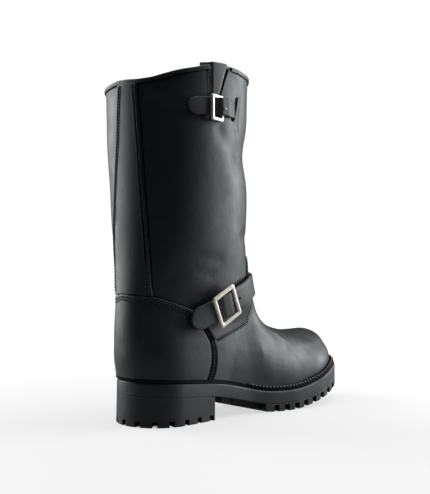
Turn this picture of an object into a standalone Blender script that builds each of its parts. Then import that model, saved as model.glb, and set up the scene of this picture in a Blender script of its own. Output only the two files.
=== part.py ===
"""A pull-on engineer boot, right foot, standing empty on its lugged sole.

+X is the outer side, +Y points to the toe and +Z is up. Shapes are worked out with y measured
from the heel's back edge; the root empty then puts the origin under the middle of the heel.
"""

import math

import bmesh
import bpy
import numpy as np
from mathutils import Vector

# Driving sizes, in metres.
LENGTH = 0.302
BALL_WIDTH = 0.109
HEEL_WIDTH = 0.080
HEEL_LENGTH = 0.082
HEIGHT = 0.348
HEEL_RISE = 0.042
SOLE_THICKNESS = 0.0215
TOE_SPRING = 0.027
TOE_EXTRA = 0.004
TOE_ROUND = 0.056
INSTEP_HEIGHT = 0.104
SHAFT_DEPTH = 0.148
SHAFT_WIDTH = 0.130
COLLAR_RISE = 0.022
MIDSOLE = 0.0135
WELT = 0.0036
INSOLE = 0.003
WALL = 0.0022
LAYER = 0.0016
GAP = 0.00035
FEATHER = 0.0072

# Sizes of the trim, in metres.
STRIP_THICKNESS = 0.0012
BINDING = 0.0011
BINDING_DEPTH = 0.0045
INSTEP_STRAP = 0.023
INSTEP_STRAP_THICKNESS = 0.0026
COLLAR_STRAP = 0.0175
COLLAR_STRAP_THICKNESS = 0.0022
BUCKLE_BAR = 0.0034
BUCKLE_RAIL = 0.0042
BUCKLE_THICKNESS = 0.0024
BUCKLE_CORNER = 0.0025
INSTEP_BUCKLE = (0.029, 0.0335)
COLLAR_BUCKLE = (0.0165, 0.0285)
BUCKLE_BEVEL = 0.18
BUCKLE_SHOULDER = 0.7
PRONG = 0.0024
PRONG_TIP = 0.0034
SEAT_SLACK = 0.0006
STRAP_SLACK = 0.0010
INSTEP_HUMP = 0.0022
INSTEP_HEADING = 0.35
THIN_START = 0.5
THIN_RUN = 0.3

# Tread.
LUG_SLOT = 0.0052
LUG_HEIGHT = 0.0058
LUG_DEPTH = 0.011
HEEL_SLOTS = 9
FORE_SLOTS = 17
FORE_START = 0.53
ARCH_START = 0.33
ARCH_INSET = 0.010
ARCH_EDGE = 0.001
EDGE_STEP = 0.0005
HEEL_EDGE = 0.0004
WELT_SPAN = 0.215
WELT_INSET = 0.0012
WELT_CLEAR = 0.0003

# Mesh fineness.
WELD = 1e-6
SHARE_STEP = 1e-3
RIM_STEP = 0.015
FOOT_RINGS = 14
SHAFT_RINGS = 8
STRAP_RING = 0.60
AROUND = 52
CROWDING = 0.34
FOOT_START = 0.006
STRIP_TOP = 0.40
STRIP_CLEAR = 0.0012
BACKSTAY_CLEAR = 0.008
BACKSTAY_TOP = 0.982
BINDING_CLEAR = 0.004
GUSSET_COLUMNS = 9
STRAP_STATIONS = 30
SOLE_STATIONS = 44
ROOT = "boot"

# Roundness of the forms: powers of the super-ellipses, the swell of the foot's sides and the
# fillet between foot and leg.
DOME_POWER = 2.3
LEG_POWER = 2.25
SWELL = 0.045
FILLET = 0.010
TOE_POWER = 2.15

# Sole outline: the half widths to each side, and how far the upper stands in from the edge.
# The along column is a share of LENGTH, inset a share of FEATHER. The half widths are shares of
# the heel's width up to the waist row, and of the ball's width from there on.
PLAN_COLUMNS = ("along", "lateral", "medial", "inset")
PLAN_HEEL = (
    (0.00, 0.500, 0.500, 0.34),
    (0.13, 0.500, 0.500, 0.34),
    (0.30, 0.470, 0.440, 0.40),
    (0.42, 0.485, 0.395, 0.50),
)
PLAN_BALL = (
    (0.55, 0.425, 0.350, 0.80),
    (0.66, 0.470, 0.450, 0.95),
    (0.76, 0.478, 0.512, 1.00),
    (0.88, 0.430, 0.520, 1.00),
    (1.00, 0.370, 0.500, 1.00),
)

# Height of the sole's top edge: heel is a share of the heel's extra rise, spring of TOE_SPRING.
SOLE_TOP_COLUMNS = ("along", "heel", "spring")
SOLE_TOP = (
    (0.00, 1.00, 0.00),
    (0.14, 0.88, 0.00),
    (0.27, 0.74, 0.00),
    (0.38, 0.45, 0.00),
    (0.47, 0.14, 0.00),
    (0.54, 0.00, 0.00),
    (0.63, 0.00, 0.00),
    (0.70, 0.00, 0.12),
    (0.76, 0.00, 0.27),
    (0.83, 0.00, 0.53),
    (0.90, 0.00, 0.79),
    (1.00, 0.00, 1.00),
)

# Front outline of the upper in the middle plane, from the toe's foot to the instep: along is a
# share of LENGTH and rise, above the sole's top, a share of INSTEP_HEIGHT.
FRONT_COLUMNS = ("along", "rise")
FRONT = (
    (0.977, 0.00),
    (0.980, 0.14),
    (0.969, 0.26),
    (0.940, 0.345),
    (0.890, 0.405),
    (0.820, 0.450),
    (0.745, 0.510),
    (0.680, 0.580),
    (0.620, 0.640),
    (0.562, 0.740),
)

# The foot's top where the leg covers it: along and height above the forefoot's sole, as above.
HEEL_RIDGE = ((0.0, 0.95), (0.15, 1.05), (0.35, 1.10), (0.50, 1.08))

# Sections of the leg, from the sole up: level is a share of HEIGHT; back and front are shares of
# SHAFT_DEPTH, measured from the heel's back edge; half is a share of SHAFT_WIDTH.
LEG_COLUMNS = ("level", "back", "front", "half")
LEG = (
    (0.120, 0.018, 0.800, 0.285),
    (0.190, -0.008, 0.840, 0.298),
    (0.270, -0.012, 0.900, 0.315),
    (0.330, -0.010, 1.060, 0.340),
    (0.390, -0.016, 1.000, 0.366),
    (0.490, -0.028, 0.955, 0.410),
    (0.630, -0.050, 0.930, 0.455),
    (0.810, -0.078, 0.910, 0.490),
    (1.000, -0.094, 0.905, 0.510),
)

# How the rings fan out from the sole to the collar: back and front are shares of the two outlines'
# lengths, and follow says how much of the sole's curve a ring keeps.
FAN_COLUMNS = ("ring", "back", "front", "follow")
FAN = (
    (0.00, 0.000, 0.000, 1.00),
    (0.10, 0.045, 0.060, 0.92),
    (0.24, 0.105, 0.160, 0.75),
    (0.38, 0.160, 0.300, 0.45),
    (0.52, 0.230, 0.420, 0.12),
    (0.62, 0.310, 0.500, 0.00),
    (1.00, 1.000, 1.000, 0.00),
)


def smooth(rows, columns, name, at):
    """A smooth curve through one named column of a table, over its first column."""
    table = np.array(rows, float)
    xs, ys = table[:, 0], table[:, columns.index(name)]
    step = np.diff(xs)
    slope = np.diff(ys) / step
    tangent = np.zeros_like(ys)
    both = slope[:-1] * slope[1:]
    total = slope[:-1] + slope[1:]
    rising = both > 0
    tangent[1:-1][rising] = 2 * both[rising] / total[rising]
    tangent[0], tangent[-1] = slope[0], slope[-1]
    at = np.asarray(at, float)
    i = np.clip(np.searchsorted(xs, at) - 1, 0, len(xs) - 2)
    t = np.clip((at - xs[i]) / step[i], 0, 1)
    return (
        (2 * t**3 - 3 * t**2 + 1) * ys[i]
        + (t**3 - 2 * t**2 + t) * step[i] * tangent[i]
        + (3 * t**2 - 2 * t**3) * ys[i + 1]
        + (t**3 - t**2) * step[i] * tangent[i + 1]
    )


# Where the side seam runs: the ring share, and the around shares of the counter's and vamp's edges.
SEAM_COLUMNS = ("ring", "counter", "vamp")
SEAM = (
    (0.000, 0.125, 0.137),
    (0.096, 0.138, 0.150),
    (0.158, 0.148, 0.160),
    (0.267, 0.165, 0.176),
    (0.379, 0.180, 0.191),
    (0.520, 0.189, 0.200),
)

# Top edges: away is the around share from the back, or for the vamp from the front.
COUNTER_TOP_COLUMNS = ("away", "ring")
COUNTER_TOP = (
    (0.000, 0.598),
    (0.080, 0.582),
    (0.110, 0.567),
    (0.140, 0.546),
    (0.177, 0.512),
    (0.200, 0.480),
)
VAMP_TOP_COLUMNS = ("away", "ring")
VAMP_TOP = (
    (0.000, 0.680),
    (0.070, 0.675),
    (0.097, 0.640),
    (0.125, 0.560),
    (0.165, 0.500),
    (0.230, 0.440),
    (0.330, 0.360),
)

# The backstay: around shares of its middle and half its width, over the ring share.
BACKSTAY_COLUMNS = ("ring", "centre", "half")
BACKSTAY = (
    (0.600, 0.012, 0.066),
    (0.700, 0.014, 0.061),
    (0.780, 0.018, 0.052),
    (0.910, 0.026, 0.036),
    (0.985, 0.028, 0.028),
)

# The collar's notch, clockwise from its back top corner: (ring, around).
NOTCH = ((1.0, 0.211), (0.925, 0.226), (0.925, 0.246), (1.0, 0.266))
GUSSET_SPAN = (0.200, 0.278)
GUSSET_BOTTOM = 0.905
GUSSET_RISE = 0.0055
GUSSET_SIDE = 0.35

# Strap paths by (around, ring), from the free end.
INSTEP_PATH = (
    (0.158, 0.412),
    (0.228, 0.497),
    (0.279, 0.523),
    (0.330, 0.553),
    (0.400, 0.586),
    (0.500, 0.604),
    (0.600, 0.586),
    (0.700, 0.520),
    (0.790, 0.400),
    (0.830, 0.320),
)
COLLAR_PATH = ((0.165, 0.938), (0.200, 0.938), (0.2385, 0.9375), (0.265, 0.937), (0.292, 0.937))
INSTEP_BASE_COLUMNS = ("around", "low", "high")
INSTEP_BASE = (
    (0.186, 0.300, 0.430),
    (0.228, 0.330, 0.520),
    (0.263, 0.362, 0.545),
    (0.329, 0.417, 0.575),
    (0.371, 0.458, 0.590),
    (0.392, 0.490, 0.595),
)


def plan_rows():
    """The sole's outline table in metres."""
    heel = [(a * LENGTH, l * HEEL_WIDTH, m * HEEL_WIDTH, i * FEATHER) for a, l, m, i in PLAN_HEEL]
    ball = [(a * LENGTH, l * BALL_WIDTH, m * BALL_WIDTH, i * FEATHER) for a, l, m, i in PLAN_BALL]
    return heel + ball


def round_ends(y, back, front):
    """A factor that closes a plan of full width in a round heel and a round toe."""
    heel = np.clip((back + HEEL_WIDTH / 2 - y) / (HEEL_WIDTH / 2), 0, 1)
    toe = np.clip((y - (front - TOE_ROUND)) / TOE_ROUND, 0, 1)
    return np.sqrt(1 - heel**2) * (1 - toe**TOE_POWER) ** (1 / TOE_POWER)


def plan(y, inset=0.0, feather=0.0):
    """The sole's half widths (outer, inner) at y, inset by a length and by a share of the table's inset."""
    rows = plan_rows()
    back_in = inset + feather * rows[0][3]
    toe_in = inset + feather * rows[-1][3]
    centre = (smooth(rows, PLAN_COLUMNS, "lateral", y) - smooth(rows, PLAN_COLUMNS, "medial", y)) / 2
    half = (smooth(rows, PLAN_COLUMNS, "lateral", y) + smooth(rows, PLAN_COLUMNS, "medial", y)) / 2
    half = half - inset - feather * smooth(rows, PLAN_COLUMNS, "inset", y)
    half = half * round_ends(y, back_in, LENGTH - toe_in)
    return centre + half, half - centre


def midline(y):
    """The sideways swing of the last's middle line, from the waist to the toe."""
    rows = plan_rows()
    toe = (rows[-1][1] - rows[-1][2]) / 2
    t = np.clip((np.asarray(y) / LENGTH - 0.5) / 0.5, 0, 1)
    return toe * t * t * (3 - 2 * t)


def sole_top(y):
    heel = smooth(SOLE_TOP, SOLE_TOP_COLUMNS, "heel", np.asarray(y) / LENGTH)
    spring = smooth(SOLE_TOP, SOLE_TOP_COLUMNS, "spring", np.asarray(y) / LENGTH)
    return SOLE_THICKNESS + heel * (HEEL_RISE - SOLE_THICKNESS) + spring * TOE_SPRING


def leg_rows():
    """The leg's sections as (height, back, front, half width) in metres."""
    return [
        (level * HEIGHT, back * SHAFT_DEPTH, front * SHAFT_DEPTH, half * SHAFT_WIDTH)
        for level, back, front, half in LEG
    ]


def resample(points, count):
    """Points evenly spaced along a polyline."""
    length = np.r_[0, np.cumsum(np.linalg.norm(np.diff(points, axis=0), axis=1))]
    at = np.linspace(0, length[-1], count)
    return np.stack([np.interp(at, length, points[:, k]) for k in range(points.shape[1])], 1)


def front_line(count=400):
    """The upper's front outline (y, z), from the toe's foot over the instep to the collar."""
    rows = [(a * LENGTH, sole_top(a * LENGTH) + GAP + r * INSTEP_HEIGHT) for a, r in FRONT]
    leg = leg_rows()
    rows += [(front, z) for z, _, front, _ in leg if z > rows[-1][1] + 0.012]
    knots = np.array([(float(y), float(z)) for y, z in rows])
    along = np.r_[0, np.cumsum(np.linalg.norm(np.diff(knots, axis=0), axis=1))]
    at = np.linspace(0, along[-1], count)
    table = np.column_stack([along, knots])
    return resample(np.stack([smooth(table, ("s", "y", "z"), k, at) for k in ("y", "z")], 1), count)


def back_line(count=400):
    """The upper's back outline (y, z), from the sole to the collar."""
    bottom = float(sole_top(0.0)) + GAP
    z = np.linspace(bottom, HEIGHT - COLLAR_RISE, count)
    return resample(np.stack([smooth(leg_rows(), LEG_COLUMNS, "back", z), z], 1), count)


def foot_half(y, z, ends, ridge):
    """The foot's half widths at y and height z, closed over its ridge as a last is."""
    rows = plan_rows()
    share = np.linspace(0, 1, len(y))
    behind = ends[0] - rows[0][3]
    ahead = max(0.0, ends[1] - (LENGTH - rows[-1][3]))
    shift = behind * np.clip(1 - 3 * share, 0, 1) + ahead * np.clip(3 * share - 2, 0, 1)
    base = np.stack(plan(y - shift, feather=1.0)) + midline(y) * np.array([[-1], [1]])
    floor = sole_top(y)
    h = np.clip((z - floor) / np.maximum(np.interp(y, *ridge) - floor, 1e-6), 0, 1)
    dome = (1 - h**DOME_POWER) ** (1 / 2.0)
    swell = 1 + SWELL * np.sin(np.pi * np.clip(h * 1.6, 0, 1))
    return base * dome * swell


def leg_half(y, z):
    rows = leg_rows()
    back = smooth(rows, LEG_COLUMNS, "back", z)
    front = smooth(rows, LEG_COLUMNS, "front", z)
    half = smooth(rows, LEG_COLUMNS, "half", z)
    t = np.clip(np.abs(2 * (y - back) / (front - back) - 1), 0, 1)
    return half * (1 - t**LEG_POWER) ** (1 / LEG_POWER)


def blend(a, b):
    """The larger of two widths, with a soft fillet where they meet."""
    near = np.clip(1 - np.abs(a - b) / FILLET, 0, 1)
    return np.maximum(a, b) + FILLET / 4 * near**2 * np.clip(np.minimum(a, b) / FILLET, 0, 1)


def skin_grid(rings, around):
    """The upper's outer surface as evenly spaced rings of points, from the sole to the collar.

    Each ring runs from the back over the outer side to the front and back over the inner side.
    """
    front, back = front_line(), back_line()
    over = front[np.argmax(front[:, 0]) : np.argmax(front[:, 0] < 0.5 * LENGTH)][::-1]
    inside = np.array(HEEL_RIDGE) * (LENGTH, INSTEP_HEIGHT)
    inside[:, 1] += SOLE_THICKNESS
    ridge = (np.r_[inside[:, 0], over[:, 0]], np.r_[inside[:, 1], over[:, 1]])
    grid = []
    for ring in np.linspace(0, 1, rings):
        share = {k: float(smooth(FAN, FAN_COLUMNS, k, ring)) for k in FAN_COLUMNS[1:]}
        start = back[round(share["back"] * (len(back) - 1))]
        end = front[round(share["front"] * (len(front) - 1))]
        s = 0.5 - 0.5 * np.cos(np.linspace(0, np.pi, 241))
        y = start[0] + s * (end[0] - start[0])
        line = start[1] + s * (end[1] - start[1])
        curve = sole_top(y) - (sole_top(start[0]) + s * (sole_top(end[0]) - sole_top(start[0])))
        z = line + share["follow"] * curve
        lateral, medial = foot_half(y, z, (start[0], end[0]), ridge)
        leg = leg_half(y, z)
        lateral, medial = blend(lateral, leg), blend(medial, leg)
        lateral[[0, -1]] = medial[[0, -1]] = 0
        outer = resample(np.stack([midline(y) + lateral, y, z], 1), around // 2 + 1)
        inner = resample(np.stack([midline(y) - medial, y, z], 1), around // 2 + 1)
        grid.append(np.concatenate([outer, inner[-2:0:-1]]))
    return np.array(grid)


class Skin:
    """The upper's outer surface, read at (ring, around) and moved out along its normal."""

    def __init__(self, rings=161, around=320):
        self.points = skin_grid(rings, around)
        across = np.roll(self.points, -1, 1) - np.roll(self.points, 1, 1)
        up = np.gradient(self.points, axis=0)
        normal = np.cross(across, up)
        normal[0, :, 2] = 0
        self.normal = normal / np.linalg.norm(normal, axis=2, keepdims=True)

    def read(self, field, ring, around):
        rings, columns = field.shape[:2]
        r = np.clip(np.asarray(ring, float), 0, 1) * (rings - 1)
        c = (np.asarray(around, float) % 1) * columns
        r, c = np.broadcast_arrays(r, c)
        i, j = np.minimum(r.astype(int), rings - 2), c.astype(int) % columns
        a, b = (r - i)[..., None], (c - c.astype(int))[..., None]
        k = (j + 1) % columns
        low = field[i, j] * (1 - b) + field[i, k] * b
        high = field[i + 1, j] * (1 - b) + field[i + 1, k] * b
        return low * (1 - a) + high * a

    def at(self, ring, around, out=0.0):
        normal = self.read(self.normal, ring, around)
        normal = normal / np.linalg.norm(normal, axis=-1, keepdims=True)
        return self.read(self.points, ring, around) + normal * np.asarray(out)[..., None]

    def frame(self, ring, around, heading=0.0):
        """The point and its axes: along the ring turned up by heading, across it, and outwards."""
        step = 0.004
        along = self.at(ring, around + step) - self.at(ring, around - step)
        normal = self.read(self.normal, ring, around)
        normal = normal / np.linalg.norm(normal)
        along = along - normal * (along @ normal)
        along = along / np.linalg.norm(along)
        up = np.cross(normal, along)
        turn, lift = math.cos(heading), math.sin(heading)
        return self.at(ring, around), along * turn + up * lift, up * turn - along * lift, normal


class Facets(Skin):
    """The skin as the faceted upper has it, so that what lies on it keeps an even gap."""

    def __init__(self, skin, rings, columns):
        self.rings, self.columns = rings, columns
        ring, around = np.meshgrid(rings, columns, indexing="ij")
        self.points = skin.at(ring, around)
        self.normal = skin.read(skin.normal, ring, around)

    def read(self, field, ring, around):
        ring, around = np.broadcast_arrays(np.clip(ring, 0, 1), np.asarray(around, float) % 1)
        columns = np.r_[self.columns, 1.0]
        i = np.clip(np.searchsorted(self.rings, ring, "right") - 1, 0, len(self.rings) - 2)
        j = np.clip(np.searchsorted(columns, around, "right") - 1, 0, len(columns) - 2)
        a = ((ring - self.rings[i]) / (self.rings[i + 1] - self.rings[i]))[..., None]
        b = ((around - columns[j]) / (columns[j + 1] - columns[j]))[..., None]
        k = (j + 1) % len(self.columns)
        corner, far = field[i, j], field[i + 1, k]
        below = corner + b * (field[i, k] - corner) + a * (far - field[i, k])
        above = corner + a * (field[i + 1, j] - corner) + b * (far - field[i + 1, j])
        return np.where(b >= a, below, above)

    def patch(self, start, end, low, high):
        """Grids of ring and around shares on the skin's own lines, clipped to an outline.

        start and end give the around limits at a ring share, low and high the ring limits at an
        around share that may run below 0 across the back.
        """
        columns = np.r_[self.columns - 1, self.columns]
        rings = self.rings
        first, last = start(rings), end(rings)
        inside = columns[(columns > first.min()) & (columns < last.max())]
        grid = np.r_[-9, inside, 9]
        around = np.clip(grid[None, :], first[:, None], last[:, None])
        ring = np.clip(rings[:, None], low(around), high(around))
        around = np.clip(grid[None, :], start(ring), end(ring))
        keep = [0] + [i for i in range(1, len(rings)) if not np.allclose(ring[i], ring[i - 1])]
        return ring[keep], around[keep]


# Blender objects.
def clear_scene():
    for obj in list(bpy.data.objects):
        bpy.data.objects.remove(obj, do_unlink=True)


def material(name, colour, roughness, metallic=0.0):
    """A Principled material; the parts of one kind share it."""
    made = bpy.data.materials.get(name)
    if made:
        return made
    made = bpy.data.materials.new(name)
    made.use_nodes = True
    shader = made.node_tree.nodes["Principled BSDF"]
    shader.inputs["Base Color"].default_value = (*colour, 1)
    shader.inputs["Roughness"].default_value = roughness
    shader.inputs["Metallic"].default_value = metallic
    return made


def leather():
    return material("black_leather", (0.022, 0.022, 0.024), 0.42)


def rubber():
    return material("black_rubber", (0.030, 0.030, 0.031), 0.62)


def steel():
    return material("polished_buckle", (0.82, 0.78, 0.70), 0.22, 1.0)


def add(name, points, faces, made, smooth_angle=40):
    """An object from points and faces, with equal points welded and its faces turned outwards."""
    mesh = bpy.data.meshes.new(name)
    mesh.from_pydata([tuple(map(float, p)) for p in points], [], [tuple(map(int, f)) for f in faces])
    shape = bmesh.new()
    shape.from_mesh(mesh)
    bmesh.ops.remove_doubles(shape, verts=shape.verts, dist=WELD)
    bmesh.ops.dissolve_degenerate(shape, edges=shape.edges, dist=WELD)
    bmesh.ops.recalc_face_normals(shape, faces=shape.faces)
    shape.to_mesh(mesh)
    shape.free()
    mesh.materials.append(made)
    mesh.shade_smooth()
    mesh.set_sharp_from_angle(angle=math.radians(smooth_angle))
    obj = bpy.data.objects.new(name, mesh)
    bpy.context.scene.collection.objects.link(obj)
    obj.parent = bpy.data.objects.get(ROOT)
    return obj


def grid_faces(rows, columns, start, closed=False, flip=False):
    """The triangles of a grid of points, laid row by row from index start.

    Every cell is split from its first corner, as Facets reads it.
    """
    faces = []
    for i in range(rows - 1):
        for j in range(columns if closed else columns - 1):
            k = (j + 1) % columns
            a, b = start + i * columns + j, start + i * columns + k
            c, d = start + (i + 1) * columns + k, start + (i + 1) * columns + j
            faces += [[a, c, b], [a, d, c]] if flip else [[a, b, c], [a, c, d]]
    return faces


def shell(name, inner, outer, made, closed=False):
    """A solid between two grids of the same shape; closed joins the last column to the first."""
    rows, columns = outer.shape[:2]
    count = rows * columns
    faces = grid_faces(rows, columns, 0, closed, flip=True) + grid_faces(rows, columns, count, closed)
    for i in (0, rows - 1):
        for j in range(columns if closed else columns - 1):
            a, b = i * columns + j, i * columns + (j + 1) % columns
            faces.append([a, b, count + b, count + a])
    if not closed:
        for j in (0, columns - 1):
            for i in range(rows - 1):
                a, b = i * columns + j, (i + 1) * columns + j
                faces.append([a, b, count + b, count + a])
    points = np.concatenate([inner.reshape(-1, 3), outer.reshape(-1, 3)])
    return add(name, points, faces, made)


def sweep(name, sections, made, closed=False):
    """A solid from closed sections of equal count, capped at both ends unless it closes on itself."""
    rows, columns = sections.shape[:2]
    faces = grid_faces(rows, columns, 0, closed=True)
    if closed:
        last = (rows - 1) * columns
        faces += [
            [last + j, last + (j + 1) % columns, (j + 1) % columns, j] for j in range(columns)
        ]
    else:
        faces += [list(range(columns)), list(range((rows - 1) * columns, rows * columns))]
    return add(name, sections.reshape(-1, 3), faces, made)


def fused(obj, tools, operation):
    """Joins or cuts each tool with obj by a Boolean, and keeps the tools as hidden guides."""
    for tool in tools:
        step = obj.modifiers.new(tool.name, "BOOLEAN")
        step.operation = operation
        step.object = tool
        tool.hide_render = True
        tool.display_type = "WIRE"
    return obj


def box(name, centre, axes, size):
    """A box from its centre, its three axes and its full sizes along them."""
    corners = [
        sum((axis * s * full / 2 for axis, s, full in zip(axes, signs, size)), centre.copy())
        for signs in ((a, b, c) for c in (-1, 1) for b in (-1, 1) for a in (-1, 1))
    ]
    faces = [[0, 2, 3, 1], [4, 5, 7, 6], [0, 1, 5, 4], [2, 6, 7, 3], [0, 4, 6, 2], [1, 3, 7, 5]]
    return add(name, corners, faces, leather())


def joined_boxes(name, boxes):
    """One mesh that holds several separate boxes, given as (centre, axes, size)."""
    points, faces = [], []
    for centre, axes, size in boxes:
        made = box("one_box", centre, axes, size)
        start = len(points)
        points += [tuple(v.co) for v in made.data.vertices]
        faces += [[start + i for i in face.vertices] for face in made.data.polygons]
        bpy.data.objects.remove(made, do_unlink=True)
    return add(name, points, faces, rubber())


def around_columns(count):
    """Shares around the boot, closer together at heel and toe."""
    half = np.linspace(0, 1, count // 2 + 1)
    half = (half - CROWDING * np.sin(2 * np.pi * half) / (2 * np.pi)) / 2
    return np.r_[half, 1 - half[-2:0:-1]]


def faceted_skin():
    """The skin on the upper's own lines: closer rings over the foot than up the shaft."""
    rings = np.r_[np.linspace(0, STRAP_RING, FOOT_RINGS), np.linspace(STRAP_RING, 1, SHAFT_RINGS)[1:]]
    return Facets(Skin(), rings, around_columns(AROUND))


def upper(skin):
    """The hollow upper, open at the collar and underneath, with the collar's notch."""
    ring, around = np.meshgrid(skin.rings, skin.columns, indexing="ij")
    obj = shell("upper", skin.at(ring, around, -WALL), skin.at(ring, around), leather(), closed=True)
    return fused(obj, [notch(skin)], "DIFFERENCE")


def notch(skin):
    """The wedge between the two flaps of the collar."""
    sides = [skin.at(ring, around) for ring, around in NOTCH]
    lift = Vector((0, 0, COLLAR_RISE))
    points = []
    for x in (-1, 1):
        for i, point in enumerate(sides):
            reach = Vector((x * SHAFT_WIDTH / 10, 0, 0))
            points.append(Vector(point) + reach + (lift if i in (0, 3) else Vector()))
    faces = [[0, 1, 2, 3], [7, 6, 5, 4]]
    faces += [[i, (i + 1) % 4, 4 + (i + 1) % 4, 4 + i] for i in range(4)]
    tool = add("notch_cutter", points, faces, leather())
    return tool


def overlay(skin, name, ring, around, layer, thickness=LAYER):
    """A leather piece that lies on the upper, given by grids of ring and around shares."""
    low = GAP + layer * (LAYER + GAP)
    return shell(name, skin.at(ring, around, low), skin.at(ring, around, low + thickness), leather())


def seam(ring, name):
    return smooth(SEAM, SEAM_COLUMNS, name, ring)


def counter(skin):
    """The heel counter, with a curved top edge, from one side seam to the other."""
    ring, around = skin.patch(
        lambda ring: -seam(ring, "counter"),
        lambda ring: seam(ring, "counter"),
        lambda around: FOOT_START + 0 * around,
        lambda around: smooth(COUNTER_TOP, COUNTER_TOP_COLUMNS, "ring", np.abs(around)),
    )
    return overlay(skin, "counter", ring, around, 0)


def vamp(skin):
    """The vamp, from one side seam round the toe to the other, with its tongue up the front."""
    ring, around = skin.patch(
        lambda ring: seam(ring, "vamp"),
        lambda ring: 1 - seam(ring, "vamp"),
        lambda around: FOOT_START + 0 * around,
        lambda around: smooth(VAMP_TOP, VAMP_TOP_COLUMNS, "ring", np.abs(around - 0.5)),
    )
    return overlay(skin, "vamp", ring, around, 0)


def side_strip(skin, name, side):
    """The narrow strip that covers the seam between counter and vamp."""
    inside = skin.rings[(skin.rings > FOOT_START) & (skin.rings < STRIP_TOP)]
    ring = np.r_[FOOT_START, inside, STRIP_TOP][:, None]
    rear = seam(ring, "counter") + STRIP_CLEAR
    front = seam(ring, "vamp") - STRIP_CLEAR
    around = rear + (front - rear) * np.array([[0, 1]])
    return overlay(skin, name, np.broadcast_to(ring, around.shape), side * around, 0, STRIP_THICKNESS)


def backstay(skin):
    """The strip up the back seam, widening towards the counter."""

    def edge(ring, side):
        half = smooth(BACKSTAY, BACKSTAY_COLUMNS, "half", ring)
        return smooth(BACKSTAY, BACKSTAY_COLUMNS, "centre", ring) + side * half

    def bottom(around):
        top = smooth(COUNTER_TOP, COUNTER_TOP_COLUMNS, "ring", np.abs(around))
        return top + BACKSTAY_CLEAR

    ring, around = skin.patch(
        lambda ring: edge(ring, -1),
        lambda ring: edge(ring, 1),
        bottom,
        lambda around: BACKSTAY_TOP + 0 * around,
    )
    return overlay(skin, "backstay", ring, around, 0)


def collar_binding(skin):
    """The binding folded over the collar's edge, from one flap round to the other."""
    start, end = NOTCH[3][1] + BINDING_CLEAR, 1 + NOTCH[0][1] - BINDING_CLEAR
    columns = np.r_[skin.columns, 1 + skin.columns]
    around = np.r_[start, columns[(columns > start) & (columns < end)], end]
    rim = skin.at(1.0, around)
    out = skin.read(skin.normal, 1.0, around)
    up = rim - skin.at(1 - RIM_STEP, around)
    up = up / np.linalg.norm(up, axis=1, keepdims=True)
    face = GAP + BINDING
    back = -WALL - GAP - BINDING
    profile = [
        (GAP, -BINDING_DEPTH), (face, -BINDING_DEPTH), (face, 0.0), (-WALL / 2, BINDING + GAP),
        (back, 0.0), (back, -BINDING_DEPTH), (-WALL - GAP, -BINDING_DEPTH),
        (-WALL - GAP, GAP), (GAP, GAP),
    ]
    sections = np.stack([rim + out * a + up * b for a, b in profile], 1)
    return sweep("collar_binding", sections, leather())


def gusset(skin):
    """The soft panel behind the notch, standing a little above the collar."""
    around = np.linspace(GUSSET_SPAN[0], GUSSET_SPAN[1], GUSSET_COLUMNS)
    rings = np.linspace(GUSSET_BOTTOM, 1.0, 5)
    out = -WALL - 2 * GAP - BINDING - LAYER
    grids = []
    for depth in (out, out + LAYER):
        rows = skin.at(rings[:, None], around[None, :], depth)
        arch = np.sin(np.linspace(0, np.pi, GUSSET_COLUMNS)) ** 0.5
        crest = rows[-1] + np.array([0, 0, 1.0]) * (GUSSET_RISE * (GUSSET_SIDE + (1 - GUSSET_SIDE) * arch))[:, None]
        grids.append(np.concatenate([rows, crest[None]]))
    return shell("collar_gusset", grids[0], grids[1], leather())


def path_run(skin, path):
    """The distance along a strap's path at each of its places."""
    path = np.array(path, float)
    spots = skin.at(path[:, 1], path[:, 0])
    return np.r_[0, np.cumsum(np.linalg.norm(np.diff(spots, axis=0), axis=1))]


def path_share(skin, path, index, beyond=0.0):
    """The share of a strap's run at one of its places, or a distance beyond it."""
    run = path_run(skin, path)
    return (run[index] + beyond) / run[-1]


def strap_grid(skin, path, width, out, tip, columns=3):
    """Points on a strap along a path of (around, ring), at distances out from the upper.

    tip is the length over which the strap's first end rounds off.
    """
    run = path_run(skin, path)
    table = np.column_stack([run, np.array(path, float)])
    names = ("run", "around", "ring")
    stations = np.linspace(0, run[-1], STRAP_STATIONS)
    if tip:
        stations = np.sort(np.r_[stations[1:], tip * (1 - np.cos(np.linspace(0.25, 1.4, 4)))])
    around, ring = (smooth(table, names, k, stations) for k in names[1:])
    step = SHARE_STEP
    by_around = (skin.at(ring, around + step) - skin.at(ring, around - step)) / (2 * step)
    by_ring = (skin.at(ring + step, around) - skin.at(ring - step, around)) / (2 * step)
    ahead = np.gradient(skin.at(ring, around), stations, axis=0)
    across = np.cross(skin.read(skin.normal, ring, around), ahead)
    across = across / np.linalg.norm(across, axis=1, keepdims=True)
    half = np.full(len(stations), width / 2)
    if tip:
        half = half * np.sqrt(1 - np.clip(1 - stations / tip, 0, 1) ** 2)
    grid = []
    for i, reach in enumerate(half):
        basis = np.stack([by_around[i], by_ring[i]], 1)
        move = np.linalg.lstsq(basis, across[i] * reach, rcond=None)[0]
        side = np.linspace(-1, 1, columns)
        grid.append(
            skin.at(ring[i] + side * move[1], around[i] + side * move[0], out(stations[i] / run[-1]))
        )
    return np.array(grid)


def strap(skin, name, path, width, thickness, out, tip):
    inner = strap_grid(skin, path, width, out, tip)
    outer = strap_grid(skin, path, width, lambda share: out(share) + thickness, tip)
    return shell(name, inner, outer, leather())


def sole_y(start, end, count):
    """Distances along the sole from start to end, closer together at a round end."""
    turn = np.linspace(0, np.pi, count)
    if start > 0:
        turn = np.linspace(np.pi / 2, np.pi, count)
        return start + (end - start) * -np.cos(turn)
    return start + (end - start) * (0.5 - 0.5 * np.cos(turn))


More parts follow.
